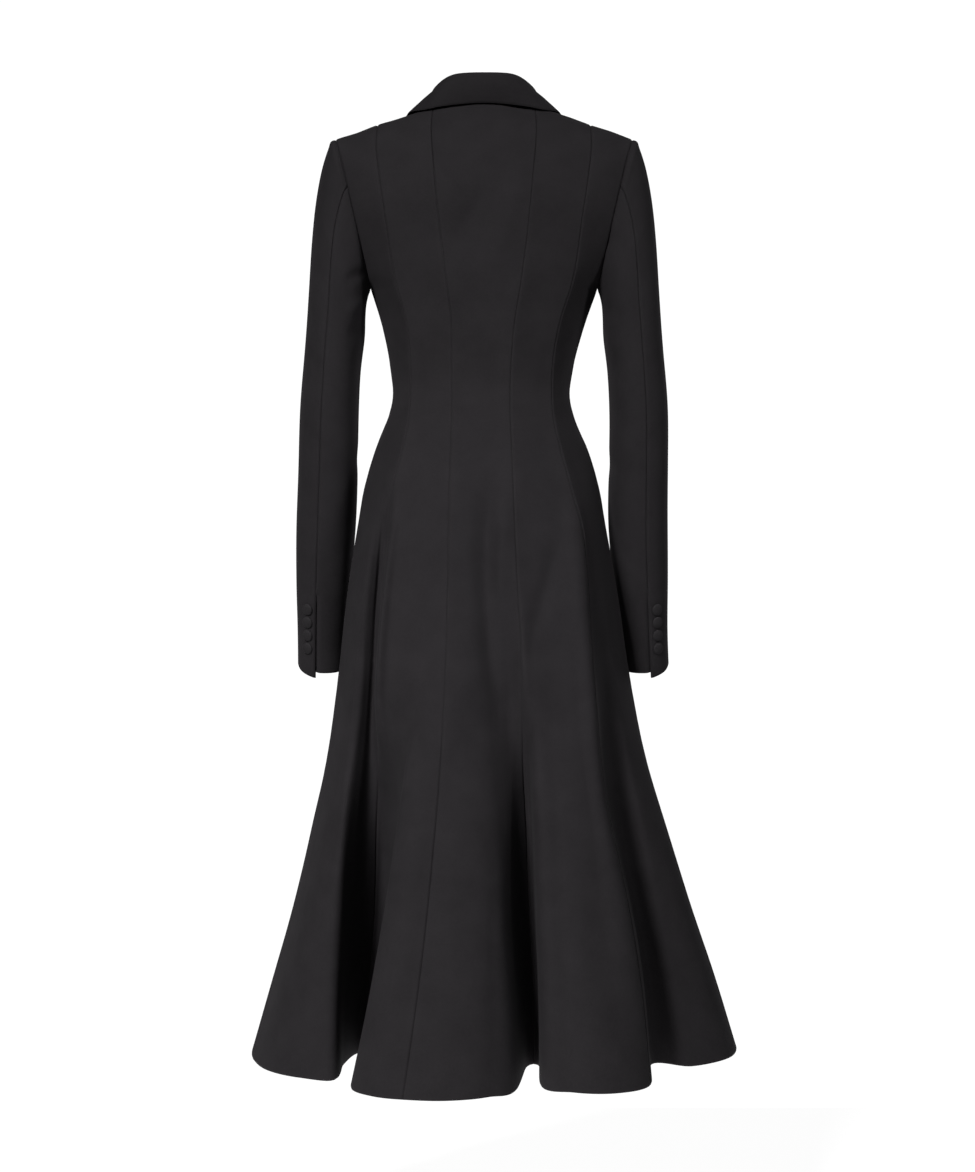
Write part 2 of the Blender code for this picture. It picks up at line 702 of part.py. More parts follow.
def make_lapel(name, side, start):
    """A lapel turned back along the roll line, lying on its front."""
    up, across = np.meshgrid(
        np.linspace(start, 1, LAPEL_ROWS), np.linspace(0, 1, LAPEL_COLUMNS + 1), indexing="ij"
    )
    height = BREAK + (LAPEL_TOP - BREAK) * up
    reach = LAPEL_WIDTH * (up + LAPEL_BELLY * up * (1 - up)) * across
    share = (up - start) / (1 - start)
    drop = LAPEL_FOOT_DROP + (LAPEL_DROP - LAPEL_FOOT_DROP) * share * share * (3 - 2 * share)
    rise = rise_of(height - reach * drop)
    points, normals = front_face(turn_at(front_edge_x(height) + reach, rise, True), rise, side)
    rolled = np.sqrt(np.sin(np.radians(90) * np.clip(across / LAPEL_ROLL, 0, 1)))
    lift = LAPEL_SEAT + (LAPEL_LIFT - LAPEL_SEAT) * rolled
    return wall(name, points + normals * (lift + WALL)[..., None], normals)


def make_lapels():
    make_lapel("lapel_right", 1, RIGHT_LAPEL_START)
    make_lapel("lapel_left", -1, LEFT_LAPEL_START)


# Buttons

def make_button(name, seat, normal, diameter, thickness):
    """A cloth-covered button with a flat back."""
    radius = diameter / 2
    side = unit(np.cross(normal, [0, 0, 1.0]))
    up = np.cross(side, normal)
    points = [seat]
    for ring in BUTTON_RINGS:
        for k in range(BUTTON_SIDES):
            angle = 2 * math.pi * k / BUTTON_SIDES
            around = side * math.cos(angle) + up * math.sin(angle)
            points.append(seat + around * ring.reach * radius + normal * ring.height * thickness)
    points.append(seat + normal * thickness)
    faces = []
    last = len(points) - 1
    for k in range(BUTTON_SIDES):
        after = (k + 1) % BUTTON_SIDES
        faces.append((0, 1 + k, 1 + after))
        for ring in range(len(BUTTON_RINGS) - 1):
            first = 1 + ring * BUTTON_SIDES
            second = first + BUTTON_SIDES
            faces.append((first + k, second + k, second + after, first + after))
        first = 1 + (len(BUTTON_RINGS) - 1) * BUTTON_SIDES
        faces.append((first + k, last, first + after))
    return make_object(name, points, faces, BUTTON_COLOUR, BUTTON_ROUGHNESS)


def make_cuff_buttons():
    stations = np.linspace(0, len(RINGS) - 1, 1000)
    heights = sleeve(np.full_like(stations, CUFF_BUTTON_TURN), stations)[:, 2]
    for hand, side in (("right", 1), ("left", -1)):
        for k in range(CUFF_BUTTONS):
            height = CUFF_BUTTON_FIRST - CUFF_BUTTON_PITCH * k
            ring = np.array(np.interp(-height, -heights, stations))
            normal = sleeve_normal(CUFF_BUTTON_TURN, ring)
            seat = on_side(sleeve(CUFF_BUTTON_TURN, ring) + normal * SEAM_GAP, ring, side)
            name = f"cuff_button_{hand}_{k + 1}"
            make_button(name, seat, mirrored(normal, side), CUFF_BUTTON, CUFF_BUTTON_THICK)


def make_front_buttons():
    for number, button in enumerate(FRONT_BUTTONS, 1):
        point, normal = front_face(np.array(180.0), np.array(button.height - UNDERARM), 1)
        seat = point + normal * button.seat
        make_button(f"front_button_{number}", seat, normal, FRONT_BUTTON, FRONT_BUTTON_THICK)


clear_scene()
make_body()
make_sleeves()
make_collar()
make_lapels()
make_cuff_buttons()
make_front_buttons()
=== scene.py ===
import math

import bpy
import numpy as np
from mathutils import Matrix, Vector


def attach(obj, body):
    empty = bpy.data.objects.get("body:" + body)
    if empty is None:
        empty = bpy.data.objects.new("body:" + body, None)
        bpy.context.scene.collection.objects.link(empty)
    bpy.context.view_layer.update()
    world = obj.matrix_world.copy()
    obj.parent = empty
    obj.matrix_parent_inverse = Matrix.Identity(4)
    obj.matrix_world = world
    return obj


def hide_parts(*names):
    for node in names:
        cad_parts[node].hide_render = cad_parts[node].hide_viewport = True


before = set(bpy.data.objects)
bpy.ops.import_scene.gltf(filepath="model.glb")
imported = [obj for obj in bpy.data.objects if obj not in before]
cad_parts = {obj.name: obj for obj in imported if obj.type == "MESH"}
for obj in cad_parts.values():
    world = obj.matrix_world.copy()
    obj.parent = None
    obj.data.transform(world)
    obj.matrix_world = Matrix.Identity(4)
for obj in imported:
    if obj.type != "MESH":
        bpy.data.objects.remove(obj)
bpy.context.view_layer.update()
bpy.ops.object.select_all(action="DESELECT")
print("stage: frame loaded with", len(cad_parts), "solids")

mm = 0.001  # every size below is in millimetres, every turn in degrees
sides = {"right": 1, "left": -1}  # the wearer's right is at +X, the back faces -Y


# small helpers

def hexColour(code):
    parts = [int(code[i:i + 2], 16) / 255 for i in (1, 3, 5)]
    return tuple(p / 12.92 if p <= 0.04045 else ((p + 0.055) / 1.055) ** 2.4 for p in parts) + (1.0,)


def table(columns, *rows):
    return dict(zip(columns.split(), np.array(rows, float).T))


def smooth(stations, values, at):
    # smooth curve through a column of a table, or one for each place, read anywhere along it
    slopes = np.gradient(values, stations, axis=0)
    at = np.clip(at, stations[0], stations[-1])
    index = np.clip(np.searchsorted(stations, at) - 1, 0, len(stations) - 2)
    span = stations[index + 1] - stations[index]
    t = (at - stations[index]) / span
    low, high, lowSlope, highSlope = (
        part[index + k] if part.ndim == 1 else np.take_along_axis(part, (index + k)[None], axis=0)[0]
        for part in (values, slopes) for k in (0, 1)
    )
    bend = t * (1 - t) ** 2 * lowSlope - t * t * (1 - t) * highSlope
    return (1 + 2 * t) * (1 - t) ** 2 * low + t * t * (3 - 2 * t) * high + span * bend


def ease(value):
    value = np.clip(value, 0, 1)
    return value * value * (3 - 2 * value)


def unit(vectors):
    return vectors / np.linalg.norm(vectors, axis=-1, keepdims=True)


def distances(points, axis):
    # running length along the rows or the columns of a grid of points
    steps = np.linalg.norm(np.diff(points, axis=axis), axis=-1)
    pad = [(0, 0), (0, 0)]
    pad[axis] = (1, 0)
    return np.pad(np.cumsum(steps, axis=axis), pad)


def gridNormals(points):
    return unit(np.cross(np.gradient(points, axis=1), np.gradient(points, axis=0)))


def bell(distance, width):
    return np.exp(-(distance / width) ** 2)


def swell(distance, height, at, width):
    return height * bell(distance - at, width)


def mirrored(points, side):
    return points * (side, 1, 1)


# the body's form, as in its solids but for the deepest folds and the tops of the inner seams

coat = {
    "wall": 2.0,
    "underarm": -226.0,
    "hip": -523.0,
    "hem": -1191.0,
    "shoulderTip": 188.0,
    "underarmHalf": 144.0,
    "shoulderSlope": 0.346,
    "shoulderZ": -5.2,
    "shoulderAt": 98.0,
    "slopePower": 1.5,
    "neckRound": 30.0,
    "armholeBack": 56.0,
    "armholeFront": 52.0,
    "armholeShare": 0.98,  # of a section's depth, at most
    "blade": 140.0,
    "chest": 190.0,
    "boxiness": 0.04,
    "neckHalf": 65.0,
    "neckDip": 0.225,
    "neckSeam": 63.0,  # where the inner princess seams run straight into the neckline, under the collar
    "shoulderShare": 0.999,
    "overlap": 20.0,
    "break": -250.0,
    "frontLayer": 4.0,  # the right front over the left
    "frontLayerEnds": 62.0,
    "frontLayerFade": 38.0,
    "foldPower": 1.7,
    "probe": 0.1,
}
levels = table(
    "height halfWidth back front lean innerSeam outerSeam frontSeam",
    (-1191, 304, 246, 244, 9.5, 75.5, 227, 176),
    (-1095, 277, 224, 225, 9.5, 69, 206, 161),
    (-1003, 249.5, 203, 206, 7.5, 62, 186, 145),
    (-912, 225, 183, 187, 5, 56, 168, 131),
    (-820, 202.5, 164, 168, 2, 50, 151, 119),
    (-712, 185, 146, 151, -0.5, 46, 138, 111),
    (-617, 173, 131, 135, -2, 44, 131, 106),
    (-523, 157.5, 115, 118, -3, 41, 121, 99),
    (-477, 149.5, 105, 110, -3, 39.5, 111, 92),
    (-432, 136.5, 93, 103, -3, 38, 99, 83),
    (-386, 118, 83, 97, -3.5, 36.5, 90, 75),
    (-363, 113, 81, 96, -3.5, 36.5, 89, 73),
    (-330, 116, 84, 101, -3, 37, 89, 75),
    (-272, 129, 92, 113, -1, 40, 96.5, 84),
    (-226, 144, 98, 117, 0, 46.5, 110, 93),
    (-140, 166, 100, 111, 0, 57, 123, 107),
    (-80, 180, 100, 101, 0, 62.5, 131, 120),
    (-38, 186, 100, 95, 0, 65.5, 135, 131),
    (-17, 187.5, 100, 93.4, 0, 65, 135, 133.3),
    (0, 188, 100, 92, 0, 63, 135, 135),
)
# where each column of the skirt lands at the hem, how much lower it hangs, and where its fold starts
folds = table(
    "turn x y dip start",
    (-180, 4, 240, 0, -620),  # overlap
    (-163, -92, 240, 2, -620),  # front lobe
    (-149, -132, 128, 0, -640),  # front trough
    (-134, -212, 172, 2, -620),  # side front lobe
    (-118, -222, 92, 0, -640),  # side front trough
    (-103, -290, 62, 3, -600),  # left side
    (-90, -294, -10, 8, -580),
    (-80, -271, -84, 9, -580),  # left lobe
    (-70, -226, -140, 8, -580),
    (-60, -178, -152, 7, -590),
    (-54, -184, -88, 2, -605),  # left trough
    (-48.5, -180, -22, 0, -615),
    (-44, -168, -22, 0, -615),
    (-38, -166, -104, 5, -605),
    (-29, -159, -192, 12, -600),  # centre lobe
    (-22, -132, -228, 13, -600),
    (-14, -94, -241, 14, -620),
    (-6, -44, -247, 14, -620),
    (2, 6, -233, 13, -640),
    (8.5, 42, -196, 12, -640),
    (12.5, 46, -112, 0, -640),  # centre trough
    (15.5, 57, -110, 0, -640),
    (20, 71, -190, 9, -640),  # right lobe
    (27, 106, -216, 11, -620),
    (37, 160, -210, 12, -610),
    (46, 201, -172, 11, -600),
    (54, 205, -106, 3, -600),  # right trough
    (66, 262, -54, 7, -600),
    (78, 311, 2, 5, -600),  # right side
    (90, 323, 52, 2, -600),
    (113, 232, 78, 0, -640),  # side front trough
    (132, 224, 176, 2, -620),  # side front lobe
    (149, 138, 130, 0, -640),  # front trough
    (165, 88, 240, 2, -620),  # front lobe
)
# the deepest folds: how far the cloth at a turn is drawn across and in, at five heights down the skirt,
# first in the left trough, then in the centre one, then on the right ridge and in the trough beside it
drawnIn = {}
drawnIn[-600] = table(
    "turn x y",
    (-60, 0, 0), (-57, 1, 5), (-53, 3, 16), (-48, 3, 30), (-45.9, 4, 25), (-43.5, -1, -1), (-38, 0, 0),
    (27, 0, 0), (37, 0, -6), (45, 0, -11), (48, 0, -5), (54, 0, 0),
)
drawnIn[-740] = table(
    "turn x y",
    (-66, 0, 0), (-60, 3, 11), (-55, 5, 24), (-48.5, 5, 38), (-46, 4, 28), (-43.5, -2, -2), (-38, 0, 0),
    (-6, 0, 0), (2, 0, 9), (7, 0, 19), (10, 0, 22), (13, 0, 14), (16, 0, 2), (19, 0, 0),
    (27, 0, -4), (37, 0, -12), (45, 0, -18), (48.5, -2, -6), (54, -2, 4), (66, 0, 0),
)
drawnIn[-870] = table(
    "turn x y",
    (-80, 0, 0), (-70, -1, -4), (-60, -4, 0), (-54, 4, 12), (-48.5, 9, 28), (-44, 14, 34), (-38, 20, 30),
    (-29, 10, 4), (-22, 3, -3),
    (-14, 0, -2), (-6, 0, 0), (2, 0, 8), (8.5, -6, 20), (12.5, 0, 28), (15.5, 2, 34), (20, -6, 4),
    (27, -1, -4), (37, 0, -10), (45.5, -2, -15), (49, -5, 2), (54, -5, 16), (66, -1, -8), (78, 0, -9),
    (90, 0, 0),
)
drawnIn[-1000] = table(
    "turn x y",
    (-80, 0, 0), (-70, -2, -4), (-64, -5, 2), (-60, -5, 8), (-54, 5, 15), (-48.5, 14, 25), (-44, 21, 47),
    (-38, 24, 46), (-29, 3, 5), (-22, -2, -3),
    (-14, 0, 0), (-6, 0, 2), (2, -1, 6), (8.5, -8, 16), (12.5, 0, 36), (15.5, 3, 44), (20, -8, 6),
    (27, -2, -4), (37, 0, -8), (46, 4, -14), (54, -2, 25), (66, -2, -6), (78, 0, -20), (90, 0, -8),
    (105, 0, 0),
)
drawnIn[-1191] = table(
    "turn x y",
    (-60, 0, 0), (-54, 12, -4), (-48.5, 20, -8), (-44, 18, 0), (-38, 16, 4), (-29, 1, 2), (-22, 0, 0),
    (2, 0, 0), (8.5, -2, 4), (12.5, 8, 0), (15.5, 9, 5), (20, -3, 2),
    (27, 0, 0), (46, 0, 0), (54, 2, 20), (66, -4, -20), (78, -2, -30), (90, 0, -12), (105, 0, 0),
)
drawnFrom = (-460.0, -420.0)  # above these heights nothing is drawn in


def level(name, height):
    return smooth(levels["height"], levels[name], height)


def fullness(turn):
    return 1 + coat["boxiness"] * np.sin(2 * np.radians(turn)) ** 2


quarter = np.linspace(0, 90, 361)
quarterAcross = np.sin(np.radians(quarter)) * fullness(quarter)


def turnAcross(share):
    return np.interp(share, quarterAcross, quarter)


def heightOf(rise):
    # rise counts from the underarm, and above it the rows crowd towards the shoulder seam
    up = np.sin(np.radians(90) * np.clip(rise / -coat["underarm"], 0, 1))
    return np.where(rise < 0, coat["underarm"] + rise, coat["underarm"] * (1 - up))


def riseOf(height):
    up = np.degrees(np.arcsin(np.clip(1 - height / coat["underarm"], 0, 1))) / 90
    above = -coat["underarm"] * np.minimum(up, coat["shoulderShare"])
    return np.where(height < coat["underarm"], height - coat["underarm"], above)


def sectionDepth(height, front):
    rounding = coat["chest"] if front else coat["blade"]
    above = np.clip((height + rounding) / rounding, 0, 1)
    return level("front" if front else "back", height) * np.sqrt(1 - above ** 2)


def armholeHalf(height):
    share = (height - coat["underarm"]) / -coat["underarm"]
    return coat["underarmHalf"] + (coat["shoulderTip"] - coat["underarmHalf"]) * share


def armholeDepth(height, front):
    middle = coat["underarm"] / 2
    along = np.clip((height - middle) / middle, -1, 1)
    return coat["armholeFront" if front else "armholeBack"] * np.sqrt(1 - along ** 2)


def armholeTurn(height, front):
    depth = np.maximum(sectionDepth(height, front), 1e-6)
    share = np.clip(armholeDepth(height, front) / depth, 0, coat["armholeShare"])
    return np.where(height > coat["underarm"], 90 - turnAcross(share), 90.0)


def sectionHalf(height, front):
    edge = armholeTurn(height, front)
    reach = np.sin(np.radians(edge)) * fullness(edge)
    return np.where(height > coat["underarm"], armholeHalf(height) / reach, level("halfWidth", height))


def shoulderLine(x):
    start = math.hypot(coat["shoulderAt"], coat["neckRound"])
    return coat["shoulderZ"] - coat["shoulderSlope"] * (np.hypot(x, coat["neckRound"]) - start)


def lifted(x, height):
    share = np.clip((height - coat["underarm"]) / -coat["underarm"], 0, 1) ** coat["slopePower"]
    return height + shoulderLine(x) * share


def plainSection(turn, height):
    angle = np.radians(turn)
    full = fullness(turn)
    front = np.cos(angle) < 0
    half, depth = (
        np.where(front, size(height, True), size(height, False)) for size in (sectionHalf, sectionDepth)
    )
    return half * np.sin(angle) * full + level("lean", height), -depth * np.cos(angle) * full


def foldColumn(name, turn):
    turns, values = folds["turn"], folds[name]
    around = np.concatenate([turns[-3:] - 360, turns, turns[:3] + 360])
    wrapped = (turn + 180) % 360 - 180
    return smooth(around, np.concatenate([values[-3:], values, values[:3]]), wrapped)


def bodyPoint(turn, rise):
    turn, rise = np.broadcast_arrays(np.asarray(turn, float), np.asarray(rise, float))
    height = heightOf(rise)
    x, y = plainSection(turn, height)
    hemX, hemY = plainSection(turn, np.full_like(height, coat["hem"]))
    start = foldColumn("start", turn)
    share = np.clip((start - height) / (start - coat["hem"]), 0, 1) ** coat["foldPower"]
    x = x + (foldColumn("x", turn) - hemX) * share
    y = y + (foldColumn("y", turn) - hemY) * share
    flare = np.clip((coat["hip"] - height) / (coat["hip"] - coat["hem"]), 0, 1)
    return np.stack([x, y, lifted(x, height) - foldColumn("dip", turn) * flare], axis=-1)


def drawn(turn, rise):
    # what drawnIn gives at any turn and height
    turn, rise = np.broadcast_arrays(turn, rise)
    heights = np.array([*sorted(drawnIn), *drawnFrom, 0.0])
    moves = np.zeros((*turn.shape, 3))
    for k, axis in enumerate("xy"):
        values = np.zeros((len(heights), *turn.shape))
        for station, row in zip(sorted(drawnIn), values):
            row[...] = smooth(drawnIn[station]["turn"], drawnIn[station][axis], turn)
        moves[..., k] = smooth(heights, values, heightOf(rise))
    return moves


def bodyNormal(turn, rise):
    step = coat["probe"]
    across = bodyPoint(turn + step, rise) - bodyPoint(turn - step, rise)
    up = bodyPoint(turn, rise + step) - bodyPoint(turn, rise - step)
    return unit(np.cross(across, up))


def turnAt(x, rise, front):
    height = heightOf(np.asarray(rise, float))
    turn = turnAcross(np.abs(x) / sectionHalf(height, front)) * np.sign(x)
    return 180 - turn if front else turn


# seams and edges, as turns on the wearer's right side

def seamLine(name, front):
    return lambda rise: turnAt(level(name, heightOf(rise)), rise, front)


innerSeam = seamLine("innerSeam", False)
outerSeam = seamLine("outerSeam", False)
frontSeam = seamLine("frontSeam", True)


def sideBackEdge(rise):
    return armholeTurn(heightOf(rise), False)


def sideFrontEdge(rise):
    return 180 - armholeTurn(heightOf(rise), True)


def frontEdgeX(height):
    up = np.clip((height - coat["break"]) / -coat["break"], 0, 1)
    return -coat["overlap"] + (coat["neckHalf"] + coat["overlap"]) * up


def frontEdge(rise):
    return turnAt(frontEdgeX(heightOf(rise)), rise, True)


def frontLayer(turn, rise, side):
    if side < 0:
        return np.zeros_like(turn)
    across = np.abs(bodyPoint(turn, rise)[..., 0])
    return coat["frontLayer"] * ease((coat["frontLayerEnds"] - across) / coat["frontLayerFade"])


# materials

def wire(tree, node, values=None, links=None):
    for socket, value in (values or {}).items():
        node.inputs[socket].default_value = value
    for socket, source in (links or {}).items():
        tree.links.new(source, node.inputs[socket])


def addNode(tree, kind, output, values=None, links=None, **settings):
    node = tree.nodes.new(kind)
    for name, value in settings.items():
        setattr(node, name, value)
    wire(tree, node, values, links)
    return node.outputs[output]


# black wool crepe: hard-twisted yarns in a plain weave give a dry, pebbled face with almost no shine,
# a little grey bloom where it turns away, and along pressed edges and seams a lighter colour, which is a
# painted sheen
crepe = {
    "dark": "#222022",
    "light": "#2a282a",
    # the colour of the painted sheen along pressed edges and seams
    "pressedSheen": "#302e30",
    "yarn": 1.3,  # real yarns lie about 0.5 apart, drawn coarser so that they show at all
    "yarnWaver": 1.2,
    "pebble": 3.2,
    "mottle": 55.0,
    "noise": {"pebble": (3.0, 0.6), "mottle": (4.0, 0.65)},  # detail and roughness
    "weaveShare": 0.5,  # of the pebbles, in the relief
    "pebbleShare": 0.4,  # of the mottling, in the shade
    "shades": (0.45, 0.95),  # from the darkest to the lightest
    "mottles": (0.3, 0.7),  # from the smoothest to the roughest
    "bump": 0.35,
    "relief": 0.35,
    "roughness": (0.80, 0.92),
    "specular": 0.1,
    "sheen": 0.03,
    "sheenRoughness": 0.55,
    "sheenTint": "#b9b6ba",
}


def makeCrepe(name, settings, onCut):
    material = bpy.data.materials.new(name)
    material.use_nodes = True
    tree = material.node_tree
    if onCut:
        place = addNode(tree, "ShaderNodeUVMap", "UV", uv_map="cut")
    else:
        place = addNode(tree, "ShaderNodeTexCoord", "Object")
    pebble, mottle = (
        addNode(
            tree, "ShaderNodeTexNoise", "Fac",
            {"Scale": 1 / (settings[part] * mm), "Detail": detail, "Roughness": rough},
            {"Vector": place},
        )
        for part, (detail, rough) in settings["noise"].items()
    )
    yarns = {
        "Scale": 2 * math.pi / (20 * settings["yarn"] * mm),  # bands repeat every 2 pi / (20 * scale)
        "Distortion": settings["yarnWaver"],
        "Detail": 2.0,
        "Detail Scale": 1.5,
    }
    warp, weft = (
        addNode(tree, "ShaderNodeTexWave", "Fac", yarns, {"Vector": place}, bands_direction=direction)
        for direction in "XY"
    )
    weave = addNode(tree, "ShaderNodeMath", 0, links={0: warp, 1: weft}, operation="MULTIPLY")
    height, shade = (
        addNode(tree, "ShaderNodeMath", 0, {1: share}, {0: part, 2: ground}, operation="MULTIPLY_ADD")
        for share, part, ground in (
            (settings["weaveShare"], weave, pebble), (settings["pebbleShare"], pebble, mottle)
        )
    )
    relief = addNode(
        tree, "ShaderNodeBump", "Normal",
        {"Strength": settings["bump"], "Distance": settings["relief"] * mm}, {"Height": height},
    )
    low, high = settings["shades"]
    tone = addNode(tree, "ShaderNodeMapRange", 0, {1: low, 2: high}, {0: shade})
    ground = addNode(
        tree, "ShaderNodeMix", 2, {6: hexColour(settings["dark"]), 7: hexColour(settings["light"])},
        {0: tone}, data_type="RGBA",
    )
    # painted sheen: the cloth turns lighter where the mesh's mask marks pressed edges and seams
    pressedSheen = addNode(tree, "ShaderNodeAttribute", "Fac", attribute_name="pressedSheen")
    colour = addNode(
        tree, "ShaderNodeMix", 2, {7: hexColour(settings["pressedSheen"])}, {0: pressedSheen, 6: ground},
        data_type="RGBA",
    )
    low, high = settings["mottles"]
    smoothest, roughest = settings["roughness"]
    rough = addNode(
        tree, "ShaderNodeMapRange", 0, {1: low, 2: high, 3: smoothest, 4: roughest}, {0: mottle}
    )
    wire(tree, tree.nodes["Principled BSDF"], {
        "Specular IOR Level": settings["specular"],
        "Sheen Weight": settings["sheen"],
        "Sheen Roughness": settings["sheenRoughness"],
        "Sheen Tint": hexColour(settings["sheenTint"]),
    }, {"Base Color": colour, "Roughness": rough, "Normal": relief})
    return material


clothMaterial = makeCrepe("black wool crepe", crepe, True)
# the buttons wear the same crepe, stretched tight, so its grain is finer and it shines a little more
buttonMaterial = makeCrepe(
    "crepe over a button",
    {**crepe, "pebble": 1.6, "yarn": 0.9, "roughness": (0.62, 0.75), "specular": 0.16}, False,
)
print("stage: materials made")


# sheets of cloth: rows by columns of outer points, and as many inner ones

# what every piece of cloth shares
cloth = {
    "sharp": 55.0,  # edges that turn by more than this stay crisp
    "samples": 241,  # points across a piece from which its columns are spaced out
    "beside": (0.0, 0.5, 1.1, 1.9, 3.0, 4.6),  # closer columns beside an edge
    "gap": 0.1,
    "lip": 0.7,  # how far the cloth runs on behind a seam
    # how strong, how far from the edge and how wide
    "ditch": (1.2, 0.0, 1.1),  # both edges of a seam turn down into it
    "ridge": (0.08, 9.0, 5.0),  # the seam's allowances, pressed open behind the cloth
    # painted sheen beside every edge
    "pressedSheen": (0.05, 2.5, 2.5),
    "hemRound": (1.0, 0.0, 1.3),
    # painted sheen along the hem
    "hemPressedSheen": (0.05, 1.5, 2.0),
    "hemDepth": 40.0,
    "hemFade": 3.0,
    "pucker": 0.14,
    "puckerReach": 8.0,
    "waveFade": 30.0,  # beside a seam the cloth lies even
}


def clothPiece(name, node, outer, normals, thick, pressedSheen, sewn=(0, 0, 0)):
    rows, columns = outer.shape[:2]
    count = rows * columns
    inner = outer - normals * np.broadcast_to(thick, (rows, columns))[..., None]
    # behind a seam the cloth runs on a little, so that no light comes through between two pieces
    inner[:, 0] += unit(inner[:, 0] - inner[:, 2]) * np.reshape(sewn[0], (-1, 1))
    inner[:, -1] += unit(inner[:, -1] - inner[:, -3]) * np.reshape(sewn[1], (-1, 1))
    inner[-1] += unit(inner[-1] - inner[-3]) * sewn[2]
    index = np.arange(count).reshape(rows, columns)
    quads = np.stack([index[:-1, :-1], index[:-1, 1:], index[1:, 1:], index[1:, :-1]], axis=-1)
    quads = quads.reshape(-1, 4)
    rim = np.concatenate([index[0], index[1:, -1], index[-1, -2::-1], index[-2:0:-1, 0]])
    after = np.roll(rim, -1)
    edge = np.stack([rim, rim + count, after + count, after], axis=-1)
    faces = np.concatenate([quads, quads[:, ::-1] + count, edge])
    r, c = rows // 2, columns // 2
    facing = np.cross(outer[r, c + 1] - outer[r, c], outer[r + 1, c] - outer[r, c])
    if np.dot(facing, normals[r, c]) < 0:
        faces = faces[:, ::-1]
    points = np.concatenate([outer.reshape(-1, 3), inner.reshape(-1, 3)]) * mm
    mesh = bpy.data.meshes.new(name)
    mesh.from_pydata(points.tolist(), [], faces.tolist())
    # the grain runs along the middle column, as on the cut
    across = distances(outer, 1)
    across = across - across[:, c:c + 1]
    along = np.broadcast_to(distances(outer, 0)[:, c:c + 1], across.shape)
    grain = np.tile(np.stack([across, along], axis=-1).reshape(-1, 2) * mm, (2, 1))
    layer = mesh.uv_layers.new(name="cut")
    corners = np.zeros(len(mesh.loops), dtype=np.int32)
    mesh.loops.foreach_get("vertex_index", corners)
    layer.uv.foreach_set("vector", grain[corners].ravel())
    # mask of the painted sheen along pressed edges and seams, on the outer face only
    sheenMarks = mesh.attributes.new("pressedSheen", "FLOAT", "POINT")
    pressedSheen = np.broadcast_to(pressedSheen, (rows, columns)).ravel()
    sheenMarks.data.foreach_set("value", np.concatenate([pressedSheen, pressedSheen * 0]))
    mesh.shade_smooth()
    mesh.set_sharp_from_angle(angle=math.radians(cloth["sharp"]))
    mesh.materials.append(clothMaterial)
    piece = bpy.data.objects.new(name, mesh)
    bpy.context.collection.objects.link(piece)
    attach(piece, "root")
    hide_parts(node)


def spaced(points, wanted):
    # shares across a panel, row by row, at wanted(width) millimetres from its first edge
    run = distances(points, 1)
    shares = np.linspace(0, 1, points.shape[1])
    return np.array([np.interp(wanted(row[-1]), row, shares) for row in run])


def columnPlaces(step, widest):
    # even columns, with a few closer ones beside both edges for their rounding
    inner = np.linspace(0, 1, max(int(widest / step), 4))[1:-1]
    beside = np.array(cloth["beside"]) + cloth["gap"]

    def wanted(width):
        middle = beside[-1] + inner * (width - 2 * beside[-1])
        return np.concatenate([beside, middle, width - beside[::-1]])

    return wanted


def creased(across, up, creases, stretch=1.0):
    # soft troughs and ridges, each along a curve through its start, middle and end
    total = np.zeros_like(across)
    t = np.linspace(0, 1, 121)
    first, second, third = (1 - t) * (1 - 2 * t), 4 * t * (1 - t), t * (2 * t - 1)
    fadeShare = 0.35
    for x0, z0, x1, z1, x2, z2, width, depth, *rest in creases:
        keep, skew = rest or (0.0, 0.0)
        x = (x0 * first + x1 * second + x2 * third) * stretch
        z = z0 * first + z1 * second + z2 * third
        reach = 4 * width
        near = np.abs(across - x.mean()) < np.ptp(x) / 2 + reach
        near &= (up < z.max() + reach) & (up > z.min() - reach)
        if not near.any():
            continue
        away = np.hypot(across[near][:, None] - x, up[near][:, None] - z)
        best = np.argmin(away, axis=1)
        fade = ease(t[best] / fadeShare) * (keep + (1 - keep) * ease((1 - t[best]) / fadeShare))
        beyond = np.sign(across[near] - x[best])  # a skewed crease is steeper on its right
        total[near] += depth * fade * bell(away[np.arange(len(best)), best], width * (1 - skew * beyond))
    return total


def seamRelief(away, along, puckers):
    # what a seam's allowances lift beside it, with the puckers along it
    wobble = np.mean([np.sin(along / length + start) for length, start in puckers], axis=0)
    pucker = cloth["pucker"] * wobble * np.exp(-away / cloth["puckerReach"])
    return pucker + swell(away, *cloth["ridge"])


def hemmed(away, thicker, tuck):
    # how far a hem's edge rounds over, how thick the cloth is there, and how strong the painted sheen
    # along its pressed edge is
    rounded = swell(away, *cloth["hemRound"])
    doubled = ease((cloth["hemDepth"] - away) / cloth["hemFade"] + 0.5)
    thick = coat["wall"] + thicker * doubled - tuck * rounded
    return rounded, thick, swell(away, *cloth["hemPressedSheen"])


# body panels

